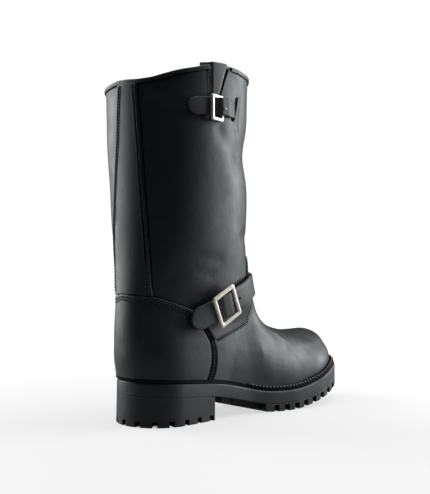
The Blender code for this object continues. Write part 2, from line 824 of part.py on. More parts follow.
def slab(name, y, lateral, medial, top, bottom, made):
    """A solid between two height curves over a plan, given by half widths at each y."""
    sections = np.stack(
        [
            np.stack([lateral, y, bottom], 1), np.stack([lateral, y, top], 1),
            np.stack([-medial, y, top], 1), np.stack([-medial, y, bottom], 1),
        ],
        1,
    )
    return sweep(name, sections, made)


def fore_bottom(y):
    """The underside of the forefoot's tread, which rises towards the toe."""
    spring = np.clip((sole_top(y) - SOLE_THICKNESS) / TOE_SPRING, 0, 1) * (y > LENGTH / 2)
    return np.maximum(sole_top(y) - SOLE_THICKNESS - TOE_EXTRA * spring, 0)


def midsole():
    y = sole_stations()
    lateral, medial = plan(y)
    return slab("midsole", y, lateral, medial, sole_top(y), sole_top(y) - MIDSOLE, rubber())


def outline_slots(places, bottom, height):
    """Boxes that notch the tread's edge: one for each (y, side), square to the outline."""
    boxes = []
    for y, side in places:
        step = EDGE_STEP
        points = []
        for at in (y - step, y, y + step):
            lateral, medial = plan(at)
            points.append(Vector((float(lateral) if side > 0 else -float(medial), at, 0)))
        along = (points[2] - points[0]).normalized()
        out = Vector((along.y, -along.x, 0)) * side
        centre = points[1] - out * (LUG_DEPTH / 2 - LUG_SLOT / 2)
        centre.z = float(bottom(y)) + height / 2 - LUG_SLOT / 2
        axes = (along, out, Vector((0, 0, 1)))
        boxes.append((centre, axes, (LUG_SLOT, LUG_DEPTH + LUG_SLOT, height + LUG_SLOT)))
    return boxes


def walk_outline(start, end, count):
    """Places (y, side) evenly spaced along the outline, from start on the outer side round to end."""
    y = np.linspace(start, LENGTH, 400)
    lateral, medial = plan(y)
    outer = np.stack([lateral, y], 1)
    inner = np.stack([-medial, y], 1)[::-1]
    path = np.concatenate([outer, inner])
    run = np.r_[0, np.cumsum(np.linalg.norm(np.diff(path, axis=0), axis=1))]
    at = np.linspace(0, run[-1], count + 2)[1:-1]
    ys = np.interp(at, run, path[:, 1])
    return [(float(v), 1 if a < run[len(outer) - 1] else -1) for v, a in zip(ys, at)]


def outsole():
    """The forefoot's tread with its edge lugs, and the narrower lugs under the arch."""
    start = FORE_START * LENGTH
    y = np.r_[
        np.linspace(ARCH_START * LENGTH, start - ARCH_EDGE, 5), start,
        sole_y(start, LENGTH, SOLE_STATIONS - 12)[1:],
    ]
    inset = np.where(y < start, ARCH_INSET, 0.0)
    lateral, medial = plan(y)
    lateral, medial = lateral - inset, medial - inset
    top = sole_top(y) - MIDSOLE - GAP
    bottom = np.where(y < start, top - LUG_HEIGHT, fore_bottom(y))
    obj = slab("outsole", y, lateral, medial, top, bottom, rubber())
    places = walk_outline(start, start, FORE_SLOTS)
    tool = joined_boxes("outsole_slots", outline_slots(places, fore_bottom, LUG_HEIGHT))
    return fused(obj, [tool], "DIFFERENCE")


def heel():
    """The heel block with the slots of its tread round the back and sides."""
    y = np.r_[sole_y(0, HEEL_WIDTH, 25)[:13], np.linspace(HEEL_WIDTH / 2, HEEL_LENGTH, 4)[1:]]
    lateral, medial = plan(y)
    obj = slab("heel", y, lateral, medial, sole_top(y) - MIDSOLE - GAP, 0 * y, rubber())
    turn = np.linspace(-1, 1, HEEL_SLOTS)
    run = HEEL_LENGTH - LUG_SLOT - HEEL_WIDTH / 2 + math.pi / 2 * HEEL_WIDTH / 2
    boxes = []
    for share in turn:
        arc = abs(share) * run
        bend = math.pi / 2 * HEEL_WIDTH / 2
        angle = min(arc, bend) / (HEEL_WIDTH / 2)
        y_at = HEEL_WIDTH / 2 * (1 - math.cos(angle)) + max(0.0, arc - bend)
        side = 1 if share >= 0 else -1
        boxes.append((max(y_at, HEEL_EDGE), side))
    tool = joined_boxes("heel_slots", outline_slots(boxes, lambda at: 0.0 * at, LUG_HEIGHT))
    return fused(obj, [tool], "DIFFERENCE")


def sole_stations():
    return sole_y(0, LENGTH, SOLE_STATIONS)


def sole_surface(y):
    """The height of the faceted midsole's top."""
    stations = sole_stations()
    return np.interp(y, stations, sole_top(stations))


def welt(skin):
    """The stitched welt that lies on the sole's edge from the waist round the toe."""
    hug = LAYER + 2 * GAP + WELT_CLEAR
    columns = skin.columns[(skin.columns > WELT_SPAN) & (skin.columns < 1 - WELT_SPAN)]
    foot = skin.at(0.0, columns, hug)
    wall = skin.at(skin.rings[1], columns, hug)
    rise = WELT / (wall[:, 2:] - foot[:, 2:])
    ledge = foot + (wall - foot) * rise
    y = np.linspace(0, LENGTH - WELT_INSET, 900)
    lateral, medial = plan(y, inset=WELT_INSET)
    outline = np.concatenate([np.stack([lateral, y], 1), np.stack([-medial, y], 1)[::-1]])
    reach = np.linalg.norm(foot[:, None, :2] - outline[None], axis=2)
    rim = outline[reach.argmin(axis=1)]
    sections = []
    for edge, low, high in zip(rim, foot, ledge):
        floor = [sole_surface(place[1]) + GAP for place in (edge, low, high)]
        sections.append([
            (*edge, floor[0]), (*edge, floor[0] + WELT),
            (*high[:2], floor[2] + WELT), (*low[:2], floor[1]),
        ])
    return sweep("welt", np.array(sections), leather())


def insole(skin):
    """The insole board, which closes the upper from inside."""
    clear = WALL + 3 * GAP
    y = sole_y(0, 1.0, SOLE_STATIONS - 12)
    rows = plan_rows()
    back, front = rows[0][3] + clear, LENGTH - rows[-1][3] - clear
    y = back + y * (front - back)
    lateral, medial = plan(y, inset=clear, feather=1.0)
    low = sole_top(y) + GAP
    return slab("insole", y, lateral, medial, low + INSOLE, low, leather())


def ring_frame(name, seat, size, tilt, lift, made):
    """A buckle's flat frame with rounded corners, round a rectangular window."""
    centre, along, across, out = seat
    along = along * math.cos(tilt) + out * math.sin(tilt)
    out = np.cross(along, across)
    window = (size[0] - 2 * BUCKLE_BAR, size[1] - 2 * BUCKLE_RAIL)
    turns = np.radians(np.arange(0, 91, 30))
    sections = []
    for sx, sy, start in ((1, 1, 0), (-1, 1, 90), (-1, -1, 180), (1, -1, 270)):
        for turn in turns + math.radians(start):
            spot = []
            for full, corner in ((size, BUCKLE_CORNER), (window, BUCKLE_CORNER / 3)):
                x = sx * (full[0] / 2 - corner) + corner * math.cos(turn)
                y = sy * (full[1] / 2 - corner) + corner * math.sin(turn)
                spot.append(centre + along * x + across * y + out * lift)
            outer, inner = spot
            up = out * BUCKLE_THICKNESS
            ease = (inner - outer) * BUCKLE_BEVEL
            shoulder = up * BUCKLE_SHOULDER
            sections.append([
                outer, outer + shoulder, outer + up + ease, inner + up - ease, inner + shoulder, inner
            ])
    return sweep(name, np.array(sections), made, closed=True)


def seat_on(skin, ring, around, heading, size):
    """A flat seat over the skin: its centre touches the highest point under a plate of this size."""
    _, along, across, out = skin.frame(ring, around, heading)
    step = SHARE_STEP
    by_around = (skin.at(ring, around + step) - skin.at(ring, around - step)) / (2 * step)
    by_ring = (skin.at(ring + step, around) - skin.at(ring - step, around)) / (2 * step)
    basis = np.stack([by_around, by_ring], 1)
    spots = {}
    for x in (-0.5, 0, 0.5):
        for y in (-0.5, 0, 0.5):
            move = np.linalg.lstsq(basis, along * x * size[0] + across * y * size[1], rcond=None)[0]
            spots[x, y] = skin.at(ring + move[1], around + move[0])
    along = spots[0.5, 0.5] + spots[0.5, -0.5] - spots[-0.5, 0.5] - spots[-0.5, -0.5]
    along = along / np.linalg.norm(along)
    across = spots[0.5, 0.5] - spots[0.5, -0.5] + spots[-0.5, 0.5] - spots[-0.5, -0.5]
    across = across - along * (across @ along)
    across = across / np.linalg.norm(across)
    out = np.cross(along, across)
    centre = spots[0, 0]
    top = max((spot - centre) @ out for spot in spots.values())
    return centre + out * top, along, across, out


def bump(away, half, ease):
    """1 within half of the middle, easing to 0."""
    t = np.clip((half + ease - np.abs(away)) / ease, 0, 1)
    return t * t * (3 - 2 * t)


def prong(name, seat, start, end, low):
    """The tip of a buckle's prong: a slim bar over the strap that ends on the frame's bar."""
    centre, along, across, out = (Vector(axis) for axis in seat)
    middle = centre + along * (start + end) / 2 + out * (low + PRONG / 2)
    return box(name, middle, (along, across, out), (end - start, PRONG, PRONG))


def instep_set(skin):
    """The strap base, the strap over the instep and its buckle on the outer side."""
    ring, around = skin.patch(
        lambda ring: INSTEP_BASE[0][0] + 0 * ring,
        lambda ring: INSTEP_BASE[-1][0] + 0 * ring,
        lambda around: smooth(INSTEP_BASE, INSTEP_BASE_COLUMNS, "low", around),
        lambda around: smooth(INSTEP_BASE, INSTEP_BASE_COLUMNS, "high", around),
    )
    overlay(skin, "instep_strap_base", ring, around, 1)
    base = 3 * GAP + 2 * LAYER + STRAP_SLACK
    seat = seat_on(skin, INSTEP_PATH[2][1], INSTEP_PATH[2][0], INSTEP_HEADING, INSTEP_BUCKLE)
    length = path_run(skin, INSTEP_PATH)[-1]
    middle = path_share(skin, INSTEP_PATH, 2)

    def out(share):
        thin = np.clip((share - THIN_START) / THIN_RUN, 0, 1) * LAYER
        return base - thin + INSTEP_HUMP * bump((share - middle) * length, BUCKLE_BAR, 2 * BUCKLE_BAR)

    strap(
        skin, "instep_strap", INSTEP_PATH, INSTEP_STRAP, INSTEP_STRAP_THICKNESS, out, INSTEP_STRAP / 2
    )
    lift = base + INSTEP_STRAP_THICKNESS + GAP + SEAT_SLACK
    buckle = ring_frame("instep_buckle", seat, INSTEP_BUCKLE, 0.0, lift, steel())
    over = base + INSTEP_HUMP + INSTEP_STRAP_THICKNESS + GAP
    end = INSTEP_BUCKLE[0] / 2
    tongue = prong("instep_prong", seat, end - BUCKLE_BAR - PRONG_TIP, end, over)
    return fused(buckle, [tongue], "UNION")


def collar_set(skin):
    """The strap by the collar and its buckle."""
    seat = seat_on(skin, COLLAR_PATH[2][1], COLLAR_PATH[2][0], 0.0, COLLAR_BUCKLE)
    length = path_run(skin, COLLAR_PATH)[-1]
    bar = path_share(skin, COLLAR_PATH, 2, (COLLAR_BUCKLE[0] - BUCKLE_BAR) / 2)
    hump = BUCKLE_THICKNESS + SEAT_SLACK + 2 * GAP

    def out(share):
        return STRAP_SLACK + hump * bump((share - bar) * length, BUCKLE_BAR, 2 * BUCKLE_BAR)

    strap(
        skin, "collar_strap", COLLAR_PATH, COLLAR_STRAP, COLLAR_STRAP_THICKNESS, out, COLLAR_STRAP / 2
    )
    high = COLLAR_STRAP_THICKNESS + SEAT_SLACK + 2 * GAP
    tilt = -math.atan(high / (COLLAR_BUCKLE[0] - BUCKLE_BAR))
    return ring_frame("collar_buckle", seat, COLLAR_BUCKLE, tilt, GAP + high / 2, steel())


def main():
    clear_scene()
    root = bpy.data.objects.new(ROOT, None)
    bpy.context.scene.collection.objects.link(root)
    root.location = (0, -HEEL_LENGTH / 2, 0)
    skin = faceted_skin()
    upper(skin)
    midsole()
    outsole()
    heel()
    welt(skin)
    insole(skin)
    vamp(skin)
    counter(skin)
    side_strip(skin, "side_strip_outer", 1)
    side_strip(skin, "side_strip_inner", -1)
    backstay(skin)
    collar_binding(skin)
    gusset(skin)
    instep_set(skin)
    collar_set(skin)


main()
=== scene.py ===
"""Looks of the black pull-on engineer boot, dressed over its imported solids.

Shapes are worked out with y measured from the heel's back edge; place() moves them to the row's
frame, whose origin is under the middle of the heel.
"""

import math

import bmesh
import bpy
import numpy as np
from mathutils import Matrix, Vector

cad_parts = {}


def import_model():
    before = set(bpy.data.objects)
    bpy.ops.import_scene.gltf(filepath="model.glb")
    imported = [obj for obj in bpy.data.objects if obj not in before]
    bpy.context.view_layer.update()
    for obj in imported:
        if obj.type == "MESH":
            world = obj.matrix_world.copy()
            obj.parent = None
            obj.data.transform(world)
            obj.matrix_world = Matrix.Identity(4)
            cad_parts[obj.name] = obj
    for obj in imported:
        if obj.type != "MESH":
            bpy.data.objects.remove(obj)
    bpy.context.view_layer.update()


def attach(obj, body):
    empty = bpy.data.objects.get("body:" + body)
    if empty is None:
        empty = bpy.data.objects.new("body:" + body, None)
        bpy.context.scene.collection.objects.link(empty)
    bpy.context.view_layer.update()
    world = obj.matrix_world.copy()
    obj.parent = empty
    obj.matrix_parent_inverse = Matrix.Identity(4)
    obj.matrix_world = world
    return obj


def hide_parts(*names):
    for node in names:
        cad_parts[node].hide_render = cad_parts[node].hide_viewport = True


# Sizes of the boot, in metres, as in the solids.
LENGTH = 0.302
BALL_WIDTH = 0.109
HEEL_WIDTH = 0.080
HEEL_LENGTH = 0.082
HEIGHT = 0.348
HEEL_RISE = 0.042
SOLE_THICKNESS = 0.0215
TOE_SPRING = 0.027
TOE_EXTRA = 0.004
TOE_ROUND = 0.056
INSTEP_HEIGHT = 0.104
SHAFT_DEPTH = 0.148
SHAFT_WIDTH = 0.130
COLLAR_RISE = 0.022
MIDSOLE = 0.0135
WELT = 0.0036
INSOLE = 0.003
WALL = 0.0022
LAYER = 0.0016
GAP = 0.00035
FEATHER = 0.0072

# Sizes of the trim, in metres.
STRIP_THICKNESS = 0.0012
BINDING = 0.0011
BINDING_DEPTH = 0.0032
INSTEP_STRAP = 0.023
INSTEP_STRAP_THICKNESS = 0.0026
COLLAR_STRAP = 0.0171
COLLAR_STRAP_THICKNESS = 0.0022
STRAP_SLACK = 0.0010
STRAP_THINNING = 0.0016
INSTEP_HUMP = 0.0022
SEAT_SLACK = 0.0006
BUCKLE_THICKNESS = 0.0024
BUCKLE_CORNER = 0.0025
GUSSET_RISE = 0.0046
GUSSET_SWELL = 0.0036
SLIT_WIDTH = 0.0034
PANEL_TOP = GAP + LAYER

# Buckles, in metres: size along the strap and across it, and the width of the bars and the rails.
INSTEP_BUCKLE = (0.0300, 0.0350)
INSTEP_FRAME = (0.0039, 0.0045)
COLLAR_BUCKLE = (0.0180, 0.0249)
COLLAR_FRAME = (0.0034, 0.0035)

# Prongs and holes, in metres on along the strap and down across it from the path's third point,
# which lies under the buckle, with their level over the leather at the collar.
INSTEP_HOLES = ((0.0080, 0.0026), (0.0178, -0.0010))
COLLAR_PRONG = (0.0053, 0.0025, 0.0075)
COLLAR_HOLE = (0.0010, 0.0019, 0.0082)

# Their discs, in metres: the instep prong's radius and rise and how deep it sits, the radius of both
# at the collar, the collar prong's rise, the instep holes' radius and the rise of all the holes, whose
# discs are painted shade.
INSTEP_PRONG = (0.0013, 0.0022)
PRONG_SINK = 0.0008
COLLAR_DISC = 0.0012
PRONG_RISE = 0.0014
HOLE_DISC = 0.0014
HOLE_RISE = 0.0001

# Places of the trim, as shares of the rings and of the way round; headings are in radians.
INSTEP_SEAT = (0.5362, 0.2610)
INSTEP_HEADING = 0.516
COLLAR_SEAT = (0.9355, 0.2320)
COLLAR_HEADING = -0.10
FOOT_START = 0.006
STRIP_TOP = 0.40
STRIP_CLEAR = 0.0012
BACKSTAY_FOOT = 0.6
BACKSTAY_CLEAR = 0.003
BACKSTAY_TOP = 0.994
BINDING_CLEAR = 0.004
BINDING_LOOK = 0.985
GUSSET_SPAN = (0.198, 0.288)
GUSSET_BOTTOM = 0.905
NOTCH_BOTTOM = 0.915
NOTCH_MIDDLE = 0.2375
NOTCH_SPAN = (0.2205, 0.276)
SLIT = ((0.9565, 0.2998), (0.9376, 0.2935), (0.9180, 0.2856))

# How far the gusset's crest falls across it, as a share of its rise; the middle, half width and ease
# of its swell, as shares of the notch; and the powers that bend the notch's two edges.
GUSSET_SLANT = 0.42
GUSSET_PLATEAU = (0.46, 0.36, 0.16)
NOTCH_BEND = (0.3, 1.7)

# The length over which the collar strap dives into its slit, and its depth there, in metres.
SLIT_DIVE = (0.0045, 0.0042)

# Sizes of the tread and the welt, in metres; a slot's are its width and height.
FORE_SLOT = (0.0056, 0.0070)
HEEL_SLOT = (0.0044, 0.0056)
LUG_DEPTH = 0.011
ARCH_HEIGHT = 0.0064
ARCH_INSET = 0.010
SOLE_EASE = 0.012
SLOT_EDGE = 0.0004
SOFT = 0.0005
LIP = 0.0022
WELT_INSET = 0.0012
WELT_PITCH = 0.0046
WELT_BEAD = (0.0036, 0.0030, 0.0022)
WELT_BEAD_LIFT = 0.0002

# How many slots go round each tread, and shares: of LENGTH for where tread and arch start, of the
# arch for its gap's middle and half width, of the way round for the welt's ends, and of the welt's
# width for its stitches.
FORE_SLOTS = 25
HEEL_SLOTS = 13
FORE_START = 0.50
ARCH_START = 0.33
ARCH_GAP = (0.30, 0.03)
WELT_SPAN = 0.215
WELT_STITCH_AT = 0.55

# Fineness: points round and along the surfaces, how often a panel's outline settles against its
# curved edges, and the steepest slope that the sole's sides are inset by.
SKIN_RINGS = 241
SKIN_AROUND = 480
LINE_POINTS = 400
RING_POINTS = 241
SHAFT_RINGS = (np.linspace(0, 0.4, 40), np.linspace(0.4, 0.9, 84), np.linspace(0.9, 1, 27))
SHAFT_COLUMNS = 261
SEAM_POINTS = 300
EDGE_POINTS = 6000
SETTLE = 8
STEEPEST = 60

# Panels: about how wide each is in metres and its columns, and how high and its rows.
VAMP_GRID = ((0.230, 170), (0.150, 100))
COUNTER_GRID = ((0.190, 150), (0.080, 64))
BACKSTAY_GRID = ((0.05, 30), (0.195, 130))
BASE_GRID = ((0.085, 60), (0.04, 40))

# Rolled edges: their radius, and distances of the columns beside an edge, in metres. Which edges of
# a panel are rolled: left, right, bottom and top.
ROLL = 0.0011
EDGE_STEPS = (0.0, 0.00008, 0.0003, 0.0007, 0.0012)
ALL_EDGES = (True, True, True, True)
NOT_THE_FOOT = (True, True, False, True)

# Steps for reading slopes: as shares of the skin, and in metres along a strap.
SHARE_STEP = 0.006
FRAME_STEP = 0.004
STRAP_LOOK = 0.004

# Thread and lines of painted shade, in metres: a stitch's length, width and height, its pitch and its lift.
STITCH = (0.0022, 0.0010, 0.0010)
STITCH_PITCH = 0.0029
STITCH_LIFT = 0.0002
DARK_LIFT = 0.00015
DARK_WIDTH = 0.0011
GROOVE_SHADE = 0.0015
FEATHER_SHADE = 0.0022

# Distances of stitch rows, of the painted shade in grooves and of painted shadows from the panels'
# edges, in metres; the base's rows also have their height over the leather.
COUNTER_GROOVES = (("counter_groove_shade_high", 0.0034), ("counter_groove_shade_low", 0.0064))
BACKSTAY_ROWS = (0.0022, 0.0050)
BACKSTAY_GROOVE_IN = 0.0036
BASE_ROWS = ((0.0028, 2 * PANEL_TOP), (-0.0034, PANEL_TOP))
EDGE_SHADE = 0.0006
FLAP_LINES = (("collar_flap_shadow", 0.0008), ("collar_flap_fold_shade", 0.0030))
FLAP_ROW = 0.0044
SLIT_LIP_ON = 0.0032

# Where the seams run: the counter's by around share, the backstay's, the sides' and the flap's top by
# ring share, and the share that others stop short by.
COUNTER_SEAM = 0.190
BACKSTAY_SEAM = (0.605, 0.990)
SIDE_SEAM = (0.016, 0.39)
FLAP_TOP = 0.999
SEAM_END = 0.004

# The slit's lip: its level, width and height, in metres.
SLIT_LIP = (-0.0003, 0.0042, 0.0024)

# The painted shade lines in the backstay's grooves: the ring share where they start, and their widths by
# side, in metres.
BACKSTAY_GROOVE_FROM = 0.68
BACKSTAY_GROOVE_SHADES = {-1: 0.0044, 1: 0.0015}

# How often the calm skin's points and normals are averaged, where the collar's rim starts to rise,
# and the throat, where the skin turns calm: its (ring, around), and the reach and ease of each.
CALM_POINTS = 60
CALM_NORMALS = 160
RIM_START = 0.90
THROAT = (0.40, 0.5)
THROAT_RING = (0.12, 0.10)
THROAT_AROUND = (0.15, 0.12)

# The share of its depth and face at which the binding's lower edge is bevelled.
BINDING_BEVEL = 0.8

# A side strip's section as (share across, share of its thickness), and a strap's as (share of its
# half width, share of its thickness).
STRIP_SECTION = ((0, 0), (0.06, 0.7), (0.2, 1), (0.5, 1), (0.8, 1), (0.94, 0.7), (1, 0))
STRAP_CROWN = 1.05
STRAP_SECTION = ((-1, 0.35), (-0.985, 0.68), (-0.95, 0.88), (-0.88, 0.97), (-0.7, 1), (-0.35, 1.03),
                 (0, STRAP_CROWN), (0.35, 1.03), (0.7, 1), (0.88, 0.97), (0.95, 0.88), (0.985, 0.68),
                 (1, 0.35))

# Each row is (share of the way from foot to rim, height as a share of WELT).
WELT_SECTION = ((0, 1.0), (0.2, 1.0), (0.42, 0.93), (0.55, 0.86), (0.68, 0.93), (0.85, 0.98),
                (0.95, 0.85), (1.0, 0.5), (1.0, 0.0))

# A buckle's section as (share of the way from its outer to its inner edge, share of its thickness).
BUCKLE_SECTION = ((0.0, 0.0), (0.0, 0.62), (0.10, 0.88), (0.26, 1.0), (0.74, 1.0), (0.90, 0.88),
                  (1.0, 0.62), (1.0, 0.0))

# Creases: depth and width in metres, and a line of (ring, around); a negative depth is a ridge.
CREASES = (
    (0.0003, 0.0070, ((0.345, 0.463), (0.285, 0.425), (0.200, 0.385), (0.150, 0.368))),
    (-0.0005, 0.0040, ((0.345, 0.420), (0.325, 0.409), (0.274, 0.388), (0.190, 0.356),
                       (0.142, 0.346))),
    (0.0003, 0.0050, ((0.330, 0.395), (0.262, 0.370), (0.190, 0.340))),
    (0.0026, 0.0240, ((0.160, 0.430), (0.160, 0.530))),
    (0.0012, 0.0280, ((0.070, 0.340), (0.080, 0.500))),
    (0.0012, 0.0060, ((0.345, 0.537), (0.287, 0.594), (0.200, 0.631))),
    (0.0045, 0.0220, ((0.866, 0.420), (0.862, 0.380), (0.868, 0.345))),
    (0.0009, 0.0060, ((0.902, 0.246), (0.888, 0.262), (0.872, 0.285), (0.862, 0.315))),
    (0.0015, 0.0045, ((0.960, 0.314), (0.938, 0.308), (0.915, 0.304), (0.900, 0.316))),
    (0.0012, 0.0060, ((0.720, 0.360), (0.705, 0.430), (0.700, 0.500), (0.706, 0.570))),
    (0.0006, 0.0060, ((0.640, 0.120), (0.655, 0.180), (0.640, 0.230))),
    (0.0006, 0.0060, ((0.668, 0.140), (0.680, 0.200), (0.670, 0.260))),
    (-0.0016, 0.0300, ((0.450, 0.010), (0.250, 0.010))),
)

# Soft swells of the leather: height in metres, waves per ring share and per turn, and phase.
SWELLS = (
    (0.00025, 3.0, 2, 0.4),
    (0.00018, 5.0, -3, 1.9),
    (0.00016, 8.0, 4, 3.1),
)

# The swells grow from a ring share over a stretch of ring shares, and never fall under a least share.
SWELL_RINGS = (0.45, 0.2, 0.15)

# How far the collar's rim stands up, in metres, by around share.
RIM = (
    (0.000, 0.0005),
    (0.030, -0.0012),
    (0.060, -0.0032),
    (0.085, -0.0036),
    (0.115, -0.0016),
    (0.145, 0.0010),
    (0.180, 0.0032),
    (0.215, 0.0058),
    (0.262, 0.0062),
    (0.285, 0.0058),
    (0.340, 0.0030),
    (0.420, 0.0008),
    (0.500, 0.0),
    (0.900, 0.0),
    (1.000, 0.0005),
)

# Each look's dark and light tone.
LEATHER = ((0.0038, 0.0041, 0.0050), (0.0081, 0.0086, 0.0100))
# The straps' leather is lighter than the shaft's as painted light.
STRAP_LIT = ((0.0200, 0.0206, 0.0225), (0.0330, 0.0338, 0.0362))
LINING = ((0.030, 0.027, 0.025), (0.052, 0.047, 0.042))
RUBBER = ((0.0065, 0.0066, 0.0070), (0.0125, 0.0126, 0.0132))
METAL = ((0.74, 0.69, 0.60), (0.84, 0.79, 0.70))
THREAD = ((0.012, 0.012, 0.013), (0.034, 0.034, 0.035))
BOARD = ((0.055, 0.047, 0.038), (0.095, 0.080, 0.064))
# The dyed edge is darker than the leather, partly as painted shade of the gaps beside it.
DYED_EDGE_AND_SHADE = ((0.0012, 0.0012, 0.0014), (0.0026, 0.0026, 0.0030))
# The painted shade's tones: shadows under edges, shade in grooves, folds and the slit, and the strap holes.
PAINTED_SHADE_TONES = ((0.003, 0.003, 0.003), (0.007, 0.007, 0.007))
FLOOR = ((0.21, 0.21, 0.21), (0.22, 0.22, 0.22))

# The cool tint of the gloss; the floor's reach and near edge in metres, where its glow grows from
# and to and how bright, the dimmer glow near the boot being a painted shadow, what it gives the boot, and
# the studio's brightness and colour.
COOL = (0.86, 0.95, 1.0, 1.0)
FLOOR_REACH = 60.0
FLOOR_NEAR = 0.42
FLOOR_GLOW_AND_SHADOW = (0.64, 1.1)
FLOOR_BOUNCE = 0.10
FLOOR_FADE = (0.3, 1.0)
BACKDROP = 1.05
STUDIO_DIM = 0.03
STUDIO_COOL = (0.90, 0.96, 1.0, 1.0)

# The camera, in metres, degrees and millimetres.
CAMERA_AT = (0.5136, -0.4078, 0.124)
CAMERA_TURN = 46.8
CAMERA_LIFT = 4.1
CAMERA_ROLL = 0.5
CAMERA_LENS = 47.73

# Each light is its power in watts, its size and its place to the right, up and away, in metres.
LIT_MIDDLE = (0.0, 0.06, 0.17)
LIGHTS = (
    ("right_box", 18.5, (0.8, 0.9), (1.10, 0.30, 0.34)),
    ("left_box", 16.0, (0.75, 1.2), (-1.05, 0.35, 0.40)),
    ("top_box", 22.0, (1.7, 1.7), (0.10, 1.35, 0.05)),
)

# Roundness of the forms: powers of the super-ellipses; the swell of the foot's sides, which ends at
# a share of 1 / SWELL_REACH of their height; and in metres the fillet between foot and leg, and how
# far over the instep's last point the leg's first section may lie.
DOME_POWER = 2.3
LEG_POWER = 2.25
SWELL = 0.045
FILLET = 0.010
TOE_POWER = 2.15
SWELL_REACH = 1.6
LEG_CLEAR = 0.012

# Sole outline: the half widths to each side, and how far the upper stands in from the edge.
# The along column is a share of LENGTH, inset a share of FEATHER. The half widths are shares of
# the heel's width up to the waist row, and of the ball's width from there on.
PLAN_COLUMNS = ("along", "lateral", "medial", "inset")
PLAN_HEEL = (
    (0.00, 0.500, 0.500, 0.34),
    (0.13, 0.500, 0.500, 0.34),
    (0.30, 0.470, 0.440, 0.40),
    (0.42, 0.485, 0.395, 0.50),
)
PLAN_BALL = (
    (0.55, 0.425, 0.350, 0.80),
    (0.66, 0.470, 0.450, 0.95),
    (0.76, 0.478, 0.512, 1.00),
    (0.88, 0.430, 0.520, 1.00),
    (1.00, 0.370, 0.500, 1.00),
)

# Height of the sole's top edge: heel is a share of the heel's extra rise, spring of TOE_SPRING.
SOLE_TOP_COLUMNS = ("along", "heel", "spring")
SOLE_TOP = (
    (0.00, 1.00, 0.00),
    (0.14, 0.88, 0.00),
    (0.27, 0.74, 0.00),
    (0.38, 0.45, 0.00),
    (0.47, 0.14, 0.00),
    (0.54, 0.00, 0.00),
    (0.63, 0.00, 0.00),
    (0.70, 0.00, 0.12),
    (0.76, 0.00, 0.27),
    (0.83, 0.00, 0.53),
    (0.90, 0.00, 0.79),
    (1.00, 0.00, 1.00),
)

# Front outline of the upper in the middle plane, from the toe's foot to the instep: along is a
# share of LENGTH and rise, above the sole's top, a share of INSTEP_HEIGHT.
FRONT = (
    (0.977, 0.00),
    (0.980, 0.14),
    (0.969, 0.26),
    (0.940, 0.345),
    (0.890, 0.405),
    (0.820, 0.450),
    (0.745, 0.510),
    (0.680, 0.580),
    (0.620, 0.640),
    (0.562, 0.740),
)

# The foot's top where the leg covers it: along and height above the forefoot's sole, as above.
HEEL_RIDGE = ((0.0, 0.95), (0.15, 1.05), (0.35, 1.10), (0.50, 1.08))

# Sections of the leg, from the sole up: level is a share of HEIGHT; back and front are shares of
# SHAFT_DEPTH, measured from the heel's back edge; half is a share of SHAFT_WIDTH.
LEG_COLUMNS = ("level", "back", "front", "half")
LEG = (
    (0.120, 0.018, 0.800, 0.285),
    (0.190, -0.008, 0.840, 0.298),
    (0.270, -0.012, 0.900, 0.315),
    (0.330, -0.010, 1.060, 0.340),
    (0.390, -0.016, 1.000, 0.366),
    (0.490, -0.028, 0.955, 0.410),
    (0.630, -0.050, 0.930, 0.455),
    (0.810, -0.078, 0.910, 0.490),
    (1.000, -0.094, 0.905, 0.510),
)

# How the rings fan out from the sole to the collar: back and front are shares of the two outlines'
# lengths, and follow says how much of the sole's curve a ring keeps.
FAN_COLUMNS = ("ring", "back", "front", "follow")
FAN = (
    (0.00, 0.000, 0.000, 1.00),
    (0.10, 0.045, 0.060, 0.92),
    (0.24, 0.105, 0.160, 0.75),
    (0.38, 0.160, 0.300, 0.45),
    (0.52, 0.230, 0.420, 0.12),
    (0.62, 0.310, 0.500, 0.00),
    (1.00, 1.000, 1.000, 0.00),
)

# Where the side seam runs: the ring share, and the around shares of the counter's and vamp's edges.
SEAM_COLUMNS = ("ring", "counter", "vamp")
SEAM = (
    (0.000, 0.125, 0.137),
    (0.096, 0.138, 0.150),
    (0.158, 0.148, 0.160),
    (0.267, 0.165, 0.176),
    (0.379, 0.180, 0.191),
    (0.520, 0.189, 0.200),
)

# Top edges: away is the around share from the back, or for the vamp from the front.
COUNTER_TOP_COLUMNS = ("away", "ring")
COUNTER_TOP = (
    (0.000, 0.598),
    (0.080, 0.582),
    (0.110, 0.567),
    (0.140, 0.546),
    (0.177, 0.512),
    (0.200, 0.480),
)
VAMP_TOP_COLUMNS = ("away", "ring")
VAMP_TOP = (
    (0.000, 0.680),
    (0.070, 0.675),
    (0.097, 0.640),
    (0.125, 0.560),
    (0.165, 0.500),
    (0.230, 0.440),
    (0.330, 0.360),
)

# The backstay: around shares of its middle and half its width, over the ring share.
BACKSTAY_COLUMNS = ("ring", "centre", "half")
BACKSTAY = (
    (0.600, 0.012, 0.066),
    (0.700, 0.014, 0.061),
    (0.780, 0.018, 0.052),
    (0.910, 0.026, 0.036),
    (0.985, 0.028, 0.028),
)

# Strap paths by (around, ring), from the free end.
INSTEP_PATH = (
    (0.153, 0.442),
    (0.1946, 0.4857),
    (0.2638, 0.5365),
    (0.3292, 0.5692),
    (0.3995, 0.5934),
    (0.500, 0.604),
    (0.600, 0.586),
    (0.700, 0.520),
    (0.790, 0.400),
    (0.830, 0.320),
)
COLLAR_PATH = ((0.164, 0.9398), (0.200, 0.9396), (0.2345, 0.9380), (0.265, 0.9362),
               (0.2935, 0.9352))

